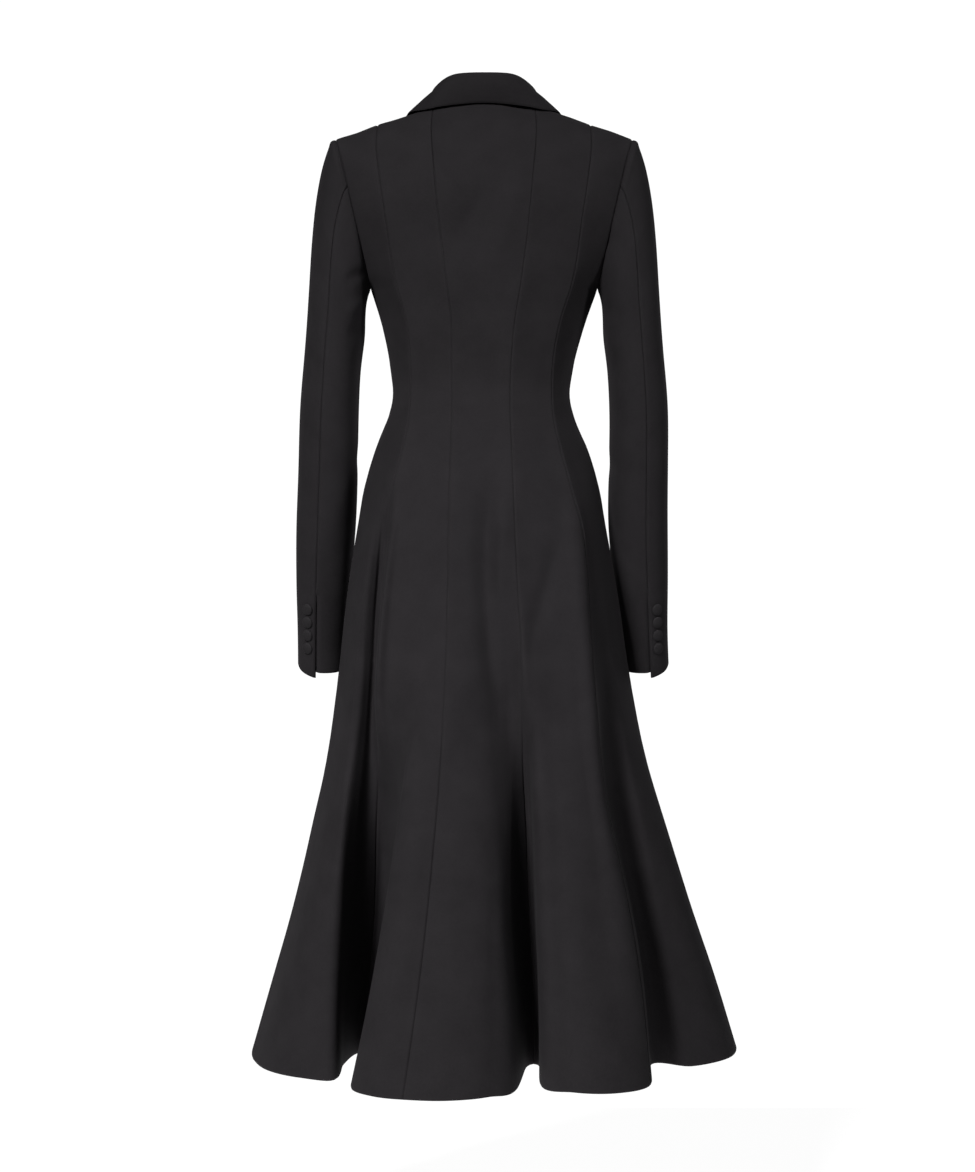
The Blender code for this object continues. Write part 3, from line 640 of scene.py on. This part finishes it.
panel = {
    "rowStep": 6.0,
    "yokeStep": 0.9,  # of that, above the underarm
    "columnStep": 5.5,
    "armholeLip": 2.5,
    "neckEase": 0.5,
    "puckers": ((3.1, 1), (5.3, 2), (8.7, 0)),  # lengths, and how far they start on from edge to edge
    "hemThick": 1.8,
    "hemTuck": 1.6,  # how much more the inner face rounds over
    "facet": 0.7,  # how far a panel is drawn flat between its seams
    "facetFrom": (-900.0, 240.0),  # height, and over how far it sets in
    "facetTo": (-60.0, 90.0),
    "wave": 0.45,
    "waveGirth": 130.0,  # millimetres round the body for each radian
    # lengths across and up, where it starts and how strong it is
    "waves": ((23, 61, 0.4, 1.0), (41, -37, 2.1, 1.0), (17, -83, 4.0, 0.6)),
    "flatHalf": 20.0,  # the fronts lie flat under the buttons and the lapels
    "flatFade": 30.0,
    "flatBelow": 60.0,
    # each panel's cut: width and length, with 12 for a seam and 40 for the hem, and square metres
    "cuts": {
        "centreBack": (280, 1310, 0.172),
        "back": (285, 1325, 0.170),
        "sideBack": (340, 1300, 0.176),
        "sideFront": (325, 1295, 0.192),
        "front": (277, 1323, 0.186),
    },
}

backCreases = (
    # start, middle and end (x, z), width, depth, how much is left at the end, and how far it leans right
    (13, -450, 4, -600, 26, -800, 13, -10.0, 0.0, 0.1),
    (27, -470, 22, -545, 20, -640, 11, 3.0),
    (96, -525, 78, -600, 50, -700, 11, -4.0, 0.2, 0.0),
    (114, -480, 116, -570, 110, -700, 13, 4.0),
    (10, -95, -12, -138, -42, -185, 13, -3.2),
    (46, -80, 30, -150, 2, -240, 16, 3.0),
    (-84, -765, -97, -874, -116, -985, 12, 5.0, 0.3, -0.7),
)
frontCreases = (
    (-60, -430, -72, -540, -84, -690, 14, -5.0, 0.6, 0.1),
    (44, -470, 56, -560, 60, -700, 12, -4.5, 0.5, -0.1),
    (96, -400, 108, -470, 118, -560, 10, 3.0),
    (-112, -380, -124, -450, -130, -560, 11, 3.5),
)


def undulation(points):
    around = np.arctan2(points[..., 0], -points[..., 1]) * panel["waveGirth"]
    return sum(
        share * np.sin(around / across + points[..., 2] / up + start)
        for across, up, start, share in panel["waves"]
    )


def drawnFlat(points):
    # panels pulled towards the flat between their seams, from the shoulder blades to below the hips
    run = distances(points, 1)
    share = (run / run[:, -1:])[..., None]
    chord = points[:, :1] + (points[:, -1:] - points[:, :1]) * share
    z = points[..., 2:]
    (low, lowFade), (high, highFade) = panel["facetFrom"], panel["facetTo"]
    amount = panel["facet"] * ease((z - low) / lowFade) * ease((high - z) / highFade)
    return points + (chord - points) * amount


def panelRows():
    step, beside = panel["rowStep"], np.array(cloth["beside"])
    low = coat["hem"] - coat["underarm"]
    top = -coat["underarm"] * coat["shoulderShare"]
    below = np.arange(low + step, -step / 2, step)
    above = np.arange(0, top - step, step * panel["yokeStep"])
    return np.concatenate([low + beside[:-1], below, above, top - beside[::-1]])


rows = panelRows()


def bodyPanel(name, node, place, creases, layer=None, armhole=None):
    # layer is the side of a front, whose second edge is open, and armhole is the edge that has one
    isFront = layer is not None
    turn, rise = place(np.linspace(0, 1, cloth["samples"])[None, :])
    points = bodyPoint(turn, rise) + drawn(turn, rise)
    wanted = columnPlaces(panel["columnStep"], distances(points, 1)[:, -1].max())
    turn, rise = place(spaced(points, wanted))
    points = bodyPoint(turn, rise)
    plainNormals = bodyNormal(turn, rise)
    if isFront:
        points = points + plainNormals * frontLayer(turn, rise, layer)[..., None]
    else:
        points = drawnFlat(points)
    points = points + drawn(turn, rise)
    normals = gridNormals(points)
    middle = len(points) // 2, points.shape[1] // 2
    normals = normals * np.sign(np.dot(normals[middle], plainNormals[middle]))
    run = distances(points, 1)
    climb = distances(points, 0)
    fromEdges = [run, run[:, -1:] - run, climb[-1:] - climb]
    out = panel["wave"] * undulation(points) * ease(np.minimum(*fromEdges[:2]) / cloth["waveFade"])
    if isFront:
        out = out * ease((np.abs(points[..., 0]) - panel["flatHalf"]) / panel["flatFade"])
        out = out * ease((coat["break"] - points[..., 2]) / panel["flatBelow"])
    # the hem's rounding and thickness, and the painted sheen along it
    rounded, thick, pressedSheen = hemmed(climb, panel["hemThick"], panel["hemTuck"])
    for k, away in enumerate(fromEdges):
        if not (isFront and k == 1):
            puckers = [(length, start * k) for length, start in panel["puckers"]]
            out = out + seamRelief(away, climb if k < 2 else run, puckers)
        out = out - swell(away, *cloth["ditch"])
        # painted sheen beside each seam and edge
        pressedSheen = np.maximum(pressedSheen, swell(away, *cloth["pressedSheen"]))
    out = out + creased(points[..., 0], points[..., 2], creases) - rounded
    lips = [cloth["lip"], 0 if isFront else cloth["lip"], cloth["lip"]]
    if armhole is not None:
        lips[armhole] = np.where(rows > 0, panel["armholeLip"], cloth["lip"])
    points = points + normals * out[..., None]
    clothPiece(name, node, points, normals, thick, pressedSheen, lips)


def between(start, end, side):
    first = start(rows)[:, None] * side
    last = end(rows)[:, None] * side

    def place(share):
        turn = first + (last - first) * share
        return turn, np.broadcast_to(rows[:, None], turn.shape)

    return place


def neckRise(x):
    inside = np.sqrt(np.clip(1 - (np.abs(x) / coat["neckHalf"]) ** 2, 0, 1))
    return -coat["underarm"] * np.minimum(1 - coat["neckDip"] * inside, coat["shoulderShare"])


def loweredRows(tops):
    yoke = np.clip(rows / rows[-1], 0, 1)[:, None]
    return np.where(rows[:, None] > 0, yoke * tops, rows[:, None])


def centreBackPlace(share):
    across = 2 * share - 1
    rise = loweredRows(neckRise(across * coat["neckSeam"]))
    return innerSeam(rise) * across, rise


def backPlace(side):
    # its top is the end of the neckline and the shoulder seam
    inner, outer = innerSeam(neckRise(coat["neckSeam"])), outerSeam(rows[-1])

    def place(share):
        topX = bodyPoint(inner + (outer - inner) * share, rows[-1])[..., 0]
        rise = loweredRows(neckRise(np.maximum(topX - panel["neckEase"], coat["neckSeam"])))
        turn = innerSeam(rise) + (outerSeam(rise) - innerSeam(rise)) * share
        return turn * side, rise

    return place


bodyPanel("centreBack", "centre_back", centreBackPlace, backCreases)
for hand, side in sides.items():
    label = hand.capitalize()
    bodyPanel("back" + label, "back_" + hand, backPlace(side), backCreases)
    place = between(outerSeam, sideBackEdge, side)
    bodyPanel("sideBack" + label, "side_back_" + hand, place, backCreases, armhole=1)
    place = between(sideFrontEdge, frontSeam, side)
    bodyPanel("sideFront" + label, "side_front_" + hand, place, frontCreases, armhole=0)
    place = between(frontSeam, frontEdge, side)
    bodyPanel("front" + label, "front_" + hand, place, frontCreases, layer=side)
print("stage: body panels made")


# sleeves

sleeveRings = table(
    "outerX outerZ innerX innerZ middle halfDepth pitch drift",
    (188, -36, 144, -226, -2, 54, 0, 0),
    (195, -42, 145.5, -229, -2, 56.5, 0, 0),
    (203, -64, 147, -233, -2, 58, 0, 0),
    (209, -90, 148.5, -239, -2, 59, 0, 0),
    (214, -124, 150, -248, -2, 60, 0, 0),
    (218, -168, 151, -262, -1, 60, 0, 0),
    (222, -226, 152, -288, 0, 59, 0, 0),
    (227.5, -298, 157, -332, 4, 57, 0.05, 0),
    (233.5, -372, 159.5, -390, 10, 54, 0.1, 0),
    (236, -446, 160.5, -454, 19, 51, 0.15, -1),
    (238, -520, 162, -524, 32, 48, 0.2, -2.5),
    (239, -592, 168, -594, 48, 45, 0.23, -2.5),
    (239.5, -650, 173.5, -652, 62, 42.5, 0.24, -2),
    (241, -703, 176.5, -706, 75, 40.5, 0.24, -1),
)
sleeve = {
    "armholeFade": 3.0,
    "backSeam": 78.0,  # turns round the sleeve: 0 outside, 90 back, 180 inside
    "frontSeam": 236.0,
    "columnStep": 5.0,
    "headRings": (0.0, 0.001, 0.015, 0.04, 0.08, 0.14, 0.22),
    "evenRings": (0.32, 12.88, 130),  # first, last and how many
    "cuffRings": (12.93, 12.955, 12.975, 12.99, 13.0),
    "headBlend": 0.5,
    "tuckIn": 1.6,  # the cap's seam allowance lies inside the armhole
    "tuckAlong": 2.6,
    "rope": (1.2, 7.0, 5.0),  # the cap's allowance, pressed into the sleeve, lifts its head
    "crown": 1.5,
    "ventTop": 11.0,  # rings between which the vent opens
    "ventOpen": 11.35,
    "ventLap": 20.0,  # degrees that the under sleeve runs on under the top sleeve
    "ventStep": 8.0,  # degrees over which it sinks
    "ventSink": 2.9,
    "ventLift": (0.9, 0.0, 9.0),
    "ventPoint": 7.0,  # the top sleeve's corner hangs lower
    "ventPointWidth": 64.0,
    "ventPointLength": 60.0,
    "ventPointRows": 20,
    "wave": 0.315,
    "waveTurn": 19.0,
    "waveLength": 33.0,
    "puckers": ((3.3, 1), (5.9, 0), (9.1, 2)),
    "turnLength": 0.9,  # millimetres for each degree, for the creases
    "hemThick": 0.8,
    "hemTuck": 1.3,
    "cuts": {"topSleeve": (307, 740, 0.116), "underSleeve": (242, 684, 0.077)},
}
lastRing = len(sleeveRings["pitch"]) - 1
sleeveCreases = {
    # start, middle and end (turn, z), width and depth
    "left": (
        (150, -205, 128, -214, 105, -225, 8, -2.6),
        (165, -240, 135, -252, 105, -262, 9, 2.2),
        (170, -270, 142, -282, 112, -292, 11, -2.3),
        (40, -300, 60, -330, 74, -372, 12, -1.4),
        (200, -430, 170, -445, 120, -470, 12, -1.8),
        (-60, -260, -90, -290, -110, -330, 12, -2.0),
    ),
    "right": (
        (130, -180, 116, -170, 98, -158, 8, -2.0),
        (165, -245, 135, -258, 104, -266, 10, -2.0),
        (168, -292, 140, -300, 116, -310, 10, 1.6),
        (205, -440, 168, -452, 128, -474, 12, -1.8),
        (-62, -270, -88, -292, -112, -322, 12, -2.0),
    ),
}


def armholeEdge(turn):
    angle = np.radians(turn)
    height = coat["underarm"] / 2 * (1 - np.cos(angle))
    x = armholeHalf(height)
    depth = np.where(np.sin(angle) > 0, coat["armholeBack"], coat["armholeFront"])
    return np.stack([x, -depth * np.sin(angle), lifted(x, height)], axis=-1)


def ringColumn(name, ring):
    values = sleeveRings[name]
    return smooth(np.arange(len(values), dtype=float), values, ring)


def sleeveRing(turn, ring):
    angle = np.radians(turn)
    along = np.cos(angle) * fullness(turn)
    depth = -ringColumn("halfDepth", ring) * np.sin(angle) * fullness(turn)
    outerX, innerX, outerZ, innerZ = (
        ringColumn(name, ring) for name in ("outerX", "innerX", "outerZ", "innerZ")
    )
    x = (outerX + innerX) / 2 + (outerX - innerX) / 2 * along
    z = (outerZ + innerZ) / 2 + (outerZ - innerZ) / 2 * along + ringColumn("pitch", ring) * depth
    return np.stack([x, ringColumn("middle", ring) + depth, z], axis=-1)


def sleevePoint(turn, ring):
    turn, ring = np.broadcast_arrays(np.asarray(turn, float), np.asarray(ring, float))
    leftOver = np.clip(1 - ring / sleeve["armholeFade"], 0, 1) ** 2
    start = armholeEdge(turn) - sleeveRing(turn, np.zeros_like(ring))
    return sleeveRing(turn, ring) + start * leftOver[..., None]


def sleeveNormal(turn, ring):
    turnStep, ringStep = 0.2, 0.02
    around = sleevePoint(turn + turnStep, ring) - sleevePoint(turn - turnStep, ring)
    below, above = np.minimum(ring + ringStep, lastRing), np.maximum(ring - ringStep, 0)
    return unit(np.cross(around, sleevePoint(turn, below) - sleevePoint(turn, above)))


def onSide(points, ring, side):
    drift = np.zeros_like(points)
    drift[..., 0] = ringColumn("drift", ring)
    return mirrored(points, side) + drift


def headNormals(turn):
    # at the armhole the wall follows the armhole's own plane
    top, back, bottom = armholeEdge(np.array([0.0, 90.0, 180.0]))
    square = np.cross(top - bottom, back - (top + bottom) / 2)
    square = unit(square * np.sign(square[0]))
    step = 0.5
    normals = unit(np.cross(square, armholeEdge(turn + step) - armholeEdge(turn - step)))
    outward = np.sum(normals * (armholeEdge(turn) - (top + bottom) / 2), axis=-1, keepdims=True)
    return normals * np.sign(outward), square


def sleevePanel(name, node, hand, top):
    side = sides[hand]
    even = np.linspace(*sleeve["evenRings"])
    rings = np.concatenate([sleeve["headRings"], even, sleeve["cuffRings"]])[:, None]
    opened = ease((rings - sleeve["ventTop"]) / (sleeve["ventOpen"] - sleeve["ventTop"]))
    if top:
        first = sleeve["frontSeam"] - 360
        last = sleeve["backSeam"]
    else:
        first = sleeve["backSeam"] - sleeve["ventLap"] * opened
        last = sleeve["frontSeam"]
    points = sleevePoint(first + (last - first) * np.linspace(0, 1, cloth["samples"]), rings)
    wanted = columnPlaces(sleeve["columnStep"], distances(points, 1)[:, -1].max())
    turn = first + (last - first) * spaced(points, wanted)
    ring = np.broadcast_to(rings, turn.shape)
    points = sleevePoint(turn, ring)
    armNormals, square = headNormals(turn)
    share = ease(1 - ring / sleeve["headBlend"])[..., None]
    normals = unit(sleeveNormal(turn, ring) * (1 - share) + armNormals * share)
    run = distances(points, 1)
    down = distances(points, 0)
    cuff = down[-1:] - down
    fromBack = run[:, -1:] - run if top else run
    fromFront = run if top else run[:, -1:] - run
    sewn = 1 - opened
    out = sleeve["wave"] * np.sin(turn / sleeve["waveTurn"] + points[..., 2] / sleeve["waveLength"])
    out = out * ease(run / cloth["waveFade"])
    # the cuff's rounding and thickness, and the painted sheen along it
    rounded, thick, pressedSheen = hemmed(cuff, sleeve["hemThick"], sleeve["hemTuck"])
    for away, here, along in ((fromBack, sewn, down), (fromFront, 1, down), (down, 1, run)):
        out = out + here * seamRelief(away, along, sleeve["puckers"])
        out = out - (1 if top else here) * swell(away, *cloth["ditch"])
        # painted sheen beside each seam and edge
        pressedSheen = np.maximum(pressedSheen, here * swell(away, *cloth["pressedSheen"]))
    if top:
        crown = ease(np.cos(np.radians(turn)) * sleeve["crown"])
        out = out + crown * swell(down, *sleeve["rope"])
        out = out + opened * swell(fromBack, *sleeve["ventLift"])
    else:
        lapped = ease((sleeve["backSeam"] - turn) / sleeve["ventStep"] + 1)
        out = out - sleeve["ventSink"] * opened * lapped
    length = sleeve["turnLength"]
    out = out + creased(turn * length, points[..., 2], sleeveCreases[hand], length) - rounded
    if top:
        near = np.clip(1 - np.abs(turn - sleeve["backSeam"]) / sleeve["ventPointWidth"], 0, 1)
        lower = sleeve["ventPoint"] * near * ease(1 - cuff / sleeve["ventPointLength"])
        points = points + unit(points[-1] - points[-sleeve["ventPointRows"]]) * lower[..., None]
    points = points + normals * out[..., None]
    points[0] -= square * sleeve["tuckAlong"] + normals[0] * sleeve["tuckIn"]
    backLip, frontLip = cloth["lip"] * sewn, cloth["lip"]
    lips = (frontLip, backLip, 0) if top else (backLip, frontLip, 0)
    points = onSide(points, ring, side)
    clothPiece(name, node, points, mirrored(normals, side), thick, pressedSheen, lips)


for hand in sides:
    for part in ("top", "under"):
        sleevePanel(f"{part}Sleeve{hand.capitalize()}", f"{part}_sleeve_{hand}", hand, part == "top")
print("stage: sleeves made")


# collar and lapels

# from the centre back (0) by the shoulder seam (1) to the gorge (2)
collarRows = table(
    "along foldX foldY foldZ edgeX edgeY edgeZ",
    (-0.35, -36, -44, 38.5, -45, -45.5, -0.3),
    (0.0, 0, -51, 39, 0, -51.5, 2.0),
    (0.35, 36, -44, 38.5, 45, -45.5, -0.3),
    (0.7, 57, -25, 29.5, 75, -33.5, -3.5),
    (1.0, 65.5, 0, 21, 95, -3.5, -1.5),
    (1.4, 63.5, 32, 2, 102, 33, -14.5),
    (2.0, 50.5, 71, -38, 90, 65, -49),
)
collar = {
    "seat": 0.9,
    "tuckIn": 2.4,  # the stand's seam allowance lies behind the neckline
    "tuckDown": 5.0,
    "roll": 2.6,  # radius of the fold
    "fold": ((-1.0, 1.0), (-0.7, 0.3), (0.0, 0.0), (0.7, 0.3), (1.0, 1.0)),  # out and down, in radii
    "fall": ((0.33, 2.5), (0.67, 2.0)),  # share of the way to the edge, and bulge
    "columns": 75,  # even ones from the centre back, then closer ones to the gorge
    "columnsTo": 1.93,
    "columnEnds": (0.0, 0.012, 0.028, 0.05),
    "rows": 56,  # with closer ones beside both edges
    "rowsFrom": 3.0,
    "rowEnds": (0.0, 0.5, 1.1, 1.9),
    "gorge": -48.0,
    "gorgeSpacing": 1.2,
    "round": (0.8, 0.0, 1.3),
    # painted sheen along the turned edges
    "pressedSheen": (0.05, 2.0, 2.5),
    "wave": 0.1,
    "cut": (110, 473, 0.028),
}
lapel = {
    "top": -51.0,
    "width": 78.0,
    "belly": 0.12,
    "drop": 0.25,
    "footDrop": 1.6,
    "start": {"right": 0.06, "left": 0.33},  # share of the roll line below which nothing shows
    "seat": 0.3,
    "lift": 1.6,
    "roll": 0.33,
    "rows": 60,
    "columns": 32,
    "even": (0.04, 0.96),  # shares between which rows and columns are even
    "ends": (0.0, 0.006, 0.014, 0.024),
    "cuts": {"right": (110, 284, 0.0141), "left": (110, 242, 0.0136)},
}


def neckline(along):
    backX = coat["neckHalf"] * np.sin(np.radians(90 * np.minimum(along, 1)))
    backRise = neckRise(backX)
    back = bodyPoint(turnAt(backX, backRise, False), backRise)
    frontRise = riseOf(collar["gorge"] * np.clip(along - 1, 0, 1) ** collar["gorgeSpacing"])
    front = bodyPoint(frontEdge(frontRise), frontRise)
    return np.where((along > 1)[..., None], front, back)


def collarSection(along):
    fold, edge = (
        np.array([smooth(collarRows["along"], collarRows[part + axis], along) for axis in "XYZ"])
        for part in ("fold", "edge")
    )
    base = neckline(np.array([along]))[0]
    out = edge - base
    out[2] = 0
    out = unit(out)
    up = np.array([0, 0, 1.0])
    base = base - out * coat["wall"] / 2 + up * collar["seat"]
    foot = base - out * collar["tuckIn"] - up * collar["tuckDown"]
    roll = [fold + (out * o - up * d) * collar["roll"] for o, d in collar["fold"]]
    fall = [roll[-1] + (edge - roll[-1]) * share + out * bulge for share, bulge in collar["fall"]]
    line = np.array([foot, base, (base + roll[0]) / 2, *roll, *fall, edge])
    run = np.concatenate([[0], np.cumsum(np.linalg.norm(np.diff(line, axis=0), axis=1))])
    ends, inside = np.array(collar["rowEnds"]), collar["rowsFrom"]
    even = np.linspace(inside, run[-1] - inside, collar["rows"])
    wanted = np.concatenate([ends, even, run[-1] - ends[::-1]])
    return np.stack([smooth(run, line[:, k], wanted) for k in range(3)], axis=-1)


def roundedSheet(name, node, middle, normals):
    # a doubled piece whose edges are turned and pressed, so both faces round over to them
    run = distances(middle, 1)
    climb = distances(middle, 0)
    away = np.minimum(np.minimum(run, run[:, -1:] - run), np.minimum(climb, climb[-1:] - climb))
    sunk = swell(away, *collar["round"])
    # painted sheen along the turned edges
    pressedSheen = swell(away, *collar["pressedSheen"])
    out = coat["wall"] / 2 - sunk + collar["wave"] * undulation(middle)
    outer = middle + normals * out[..., None]
    clothPiece(name, node, outer, normals, coat["wall"] - 2 * sunk, pressedSheen)


def makeCollar():
    even = np.linspace(0, collar["columnsTo"], collar["columns"])
    stations = np.concatenate([even, 2 - np.array(collar["columnEnds"][::-1])])
    right = np.array([collarSection(along) for along in stations])
    middle = np.concatenate([mirrored(right[:0:-1], -1), right])
    normals = gridNormals(middle)
    if normals[len(stations) - 1, -6][1] > 0:
        normals = -normals
    roundedSheet("collarCloth", "collar", middle, normals)


def makeLapel(hand):
    side = sides[hand]
    start = lapel["start"][hand]
    ends = np.array(lapel["ends"])
    shares, places = (
        np.concatenate([ends, np.linspace(*lapel["even"], lapel[count]), 1 - ends[::-1]])
        for count in ("rows", "columns")
    )
    up, across = np.meshgrid(start + (1 - start) * shares, places, indexing="ij")
    height = coat["break"] + (lapel["top"] - coat["break"]) * up
    reach = lapel["width"] * (up + lapel["belly"] * up * (1 - up)) * across
    drop = lapel["footDrop"] + (lapel["drop"] - lapel["footDrop"]) * ease(shares)[:, None]
    rise = riseOf(height - reach * drop)
    turn = turnAt(frontEdgeX(height) + reach, rise, True) * side
    normals = bodyNormal(turn, rise)
    rolled = np.sqrt(np.sin(np.radians(90) * np.clip(across / lapel["roll"], 0, 1)))
    lift = lapel["seat"] + (lapel["lift"] - lapel["seat"]) * rolled + coat["wall"] / 2
    middle = bodyPoint(turn, rise) + normals * (frontLayer(turn, rise, side) + lift)[..., None]
    roundedSheet("lapel" + hand.capitalize(), "lapel_" + hand, middle, normals)


makeCollar()
for hand in sides:
    makeLapel(hand)
print("stage: collar and lapels made")


# covered buttons

buttons = {
    "cuffWide": 15.0,
    "cuffThick": 3.2,
    "cuffCount": 4,
    "cuffTurn": 60.0,
    "cuffFirst": -632.0,
    "cuffPitch": 16.6,
    "frontWide": 20.0,
    "frontThick": 5.0,
    "frontHeights": (-268.0, -324.0, -380.0, -436.0),
    "frontSeat": -0.4,  # a flat back on a round front sinks in a little
    "cuffSeat": 0.2,
    "segments": 44,
    "rings": 24,
    "dome": 0.66,  # of the thickness, in front of the widest place
    "plateInset": 0.08,  # of the width
    "plateSink": 0.3,
    "gathers": 22,  # small tucks where the cloth is drawn to the back
    "gatherDepth": 0.14,
    "gatherFrom": 0.86,  # of the half width
    "sharp": 50.0,
}


def modelButton(name, wide, thick):
    # a sphere pressed to a low dome, cut off behind and closed with a sunk back plate
    half = wide / 2
    behind = thick * (1 - buttons["dome"]) * mm
    bpy.ops.object.select_all(action="DESELECT")
    bpy.ops.mesh.primitive_uv_sphere_add(
        segments=buttons["segments"], ring_count=buttons["rings"], radius=half * mm
    )
    button = bpy.context.object
    button.name = name
    bpy.ops.object.mode_set(mode="EDIT")
    bpy.ops.mesh.select_all(action="SELECT")
    bpy.ops.transform.resize(value=(1, 1, thick * buttons["dome"] / half))
    bpy.ops.mesh.bisect(plane_co=(0, 0, -behind), plane_no=(0, 0, 1), use_fill=True, clear_inner=True)
    bpy.ops.mesh.inset(thickness=wide * buttons["plateInset"] * mm, depth=-buttons["plateSink"] * mm)
    bpy.ops.object.mode_set(mode="OBJECT")
    for corner in button.data.vertices:
        reach = math.hypot(corner.co.x, corner.co.y) / (half * mm)
        gathered = ease((reach - buttons["gatherFrom"]) / (1 - buttons["gatherFrom"]))
        angle = math.atan2(corner.co.y, corner.co.x)
        tuck = buttons["gatherDepth"] * mm * gathered * math.sin(buttons["gathers"] * angle)
        corner.co.z += tuck + behind
    bpy.ops.object.shade_smooth_by_angle(angle=math.radians(buttons["sharp"]))
    button.data.materials.append(buttonMaterial)
    return button


def placeButton(pattern, name, node, seat, normal):
    button = pattern.copy()
    button.data = pattern.data.copy()
    button.name = name
    bpy.context.collection.objects.link(button)
    side = unit(np.cross([0, 0, 1.0], normal))
    up = np.cross(normal, side)
    turned = Matrix((side, up, normal)).transposed().to_4x4()
    button.matrix_world = Matrix.Translation(Vector(seat * mm)) @ turned
    bpy.ops.object.select_all(action="DESELECT")
    button.select_set(True)
    bpy.context.view_layer.objects.active = button
    bpy.ops.object.transform_apply()
    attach(button, "root")
    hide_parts(node)


cuffPattern = modelButton("cuffButtonPattern", buttons["cuffWide"], buttons["cuffThick"])
frontPattern = modelButton("frontButtonPattern", buttons["frontWide"], buttons["frontThick"])
stations = np.linspace(0, lastRing, 1000)
stationHeights = sleevePoint(np.full_like(stations, buttons["cuffTurn"]), stations)[:, 2]
for hand, side in sides.items():
    for k in range(buttons["cuffCount"]):
        height = buttons["cuffFirst"] - buttons["cuffPitch"] * k
        ring = np.array(np.interp(-height, -stationHeights, stations))
        normal = sleeveNormal(buttons["cuffTurn"], ring)
        seat = sleevePoint(buttons["cuffTurn"], ring) + normal * buttons["cuffSeat"]
        placeButton(
            cuffPattern, f"cuffButton{hand.capitalize()}{k + 1}", f"cuff_button_{hand}_{k + 1}",
            onSide(seat, ring, side), mirrored(normal, side),
        )
for k, height in enumerate(buttons["frontHeights"], 1):
    turn, rise = np.array(180.0), np.array(height - coat["underarm"])
    normal = bodyNormal(turn, rise)
    point = bodyPoint(turn, rise) + normal * (frontLayer(turn, rise, 1) + buttons["frontSeat"])
    placeButton(frontPattern, f"frontButton{k}", f"front_button_{k}", point, normal)
for pattern in (cuffPattern, frontPattern):
    bpy.data.objects.remove(pattern, do_unlink=True)
print("stage: buttons made")


# floor, light and camera

studio = {
    "floorAt": -1420.0,
    "floor": "#8c8c8c",
    "floorSize": 1500.0,
    "floorRoughness": 0.9,
    "floorGlow": 0.93,  # lit from behind, which lifts the paper to the white of the backdrop
    "backdrop": 1.05,  # what the camera sees behind the coat
    "fill": 0.07,  # what lights it from all round
    "lights": {
        # place, what it is aimed at, size, spread and power
        "key": ((-2362, -4443, 2418), (0, 0, -920), 1400, 28, 11.0),
        "rightFill": ((3700, -2900, 1300), (170, 0, -130), 1400, 14, 1.5),
        "farSide": ((0, 5200, -300), (0, 0, -600), 1800, 28, 4.0),
        "farRight": ((2700, 4450, -300), (0, 0, -600), 1800, 28, 8.0),
        "farLeft": ((-2700, 4450, -300), (0, 0, -600), 1800, 28, 5.0),
    },
    "cameraPlace": (4.4, -3200.0, -602.0),
    "pixel": 1.27,  # millimetres on the coat's middle plane
    "tall": 1172,
    "sensor": 36.0,
}

bpy.ops.object.select_all(action="DESELECT")
bpy.ops.mesh.primitive_plane_add(size=studio["floorSize"] * mm, location=(0, 0, studio["floorAt"] * mm))
floor = bpy.context.object
floor.name = "floor"
bpy.ops.object.transform_apply()
paper = bpy.data.materials.new("white background paper")
paper.use_nodes = True
wire(paper.node_tree, paper.node_tree.nodes["Principled BSDF"], {
    "Base Color": hexColour(studio["floor"]),
    "Roughness": studio["floorRoughness"],
    "Emission Color": hexColour("#ffffff"),
    "Emission Strength": studio["floorGlow"],
})
floor.data.materials.append(paper)

world = bpy.data.worlds.new("white studio")
world.use_nodes = True
air = world.node_tree
seen = addNode(air, "ShaderNodeLightPath", "Is Camera Ray")
strength = addNode(air, "ShaderNodeMapRange", 0, {3: studio["fill"], 4: studio["backdrop"]}, {0: seen})
wire(air, air.nodes["Background"], {"Color": hexColour("#ffffff")}, {"Strength": strength})
bpy.context.scene.world = world

for name, (place, aim, size, spread, power) in studio["lights"].items():
    bpy.ops.object.light_add(type="AREA", location=Vector(place) * mm)
    light = bpy.context.object
    light.name = name
    light.data.shape = "DISK"
    light.data.size = size * mm
    light.data.energy = power
    light.data.spread = math.radians(spread)
    light.visible_glossy = not name.startswith("far")  # no glint along the outlines from behind
    light.rotation_euler = (Vector(aim) - Vector(place)).to_track_quat("-Z", "Y").to_euler()

bpy.ops.object.camera_add(location=Vector(studio["cameraPlace"]) * mm, rotation=(math.radians(90), 0, 0))
camera = bpy.context.object
camera.data.sensor_width = studio["sensor"]
camera.data.lens = studio["sensor"] * -studio["cameraPlace"][1] / (studio["tall"] * studio["pixel"])
bpy.context.scene.camera = camera
bpy.context.scene.view_settings.view_transform = "Standard"

print("stage: scene ready")
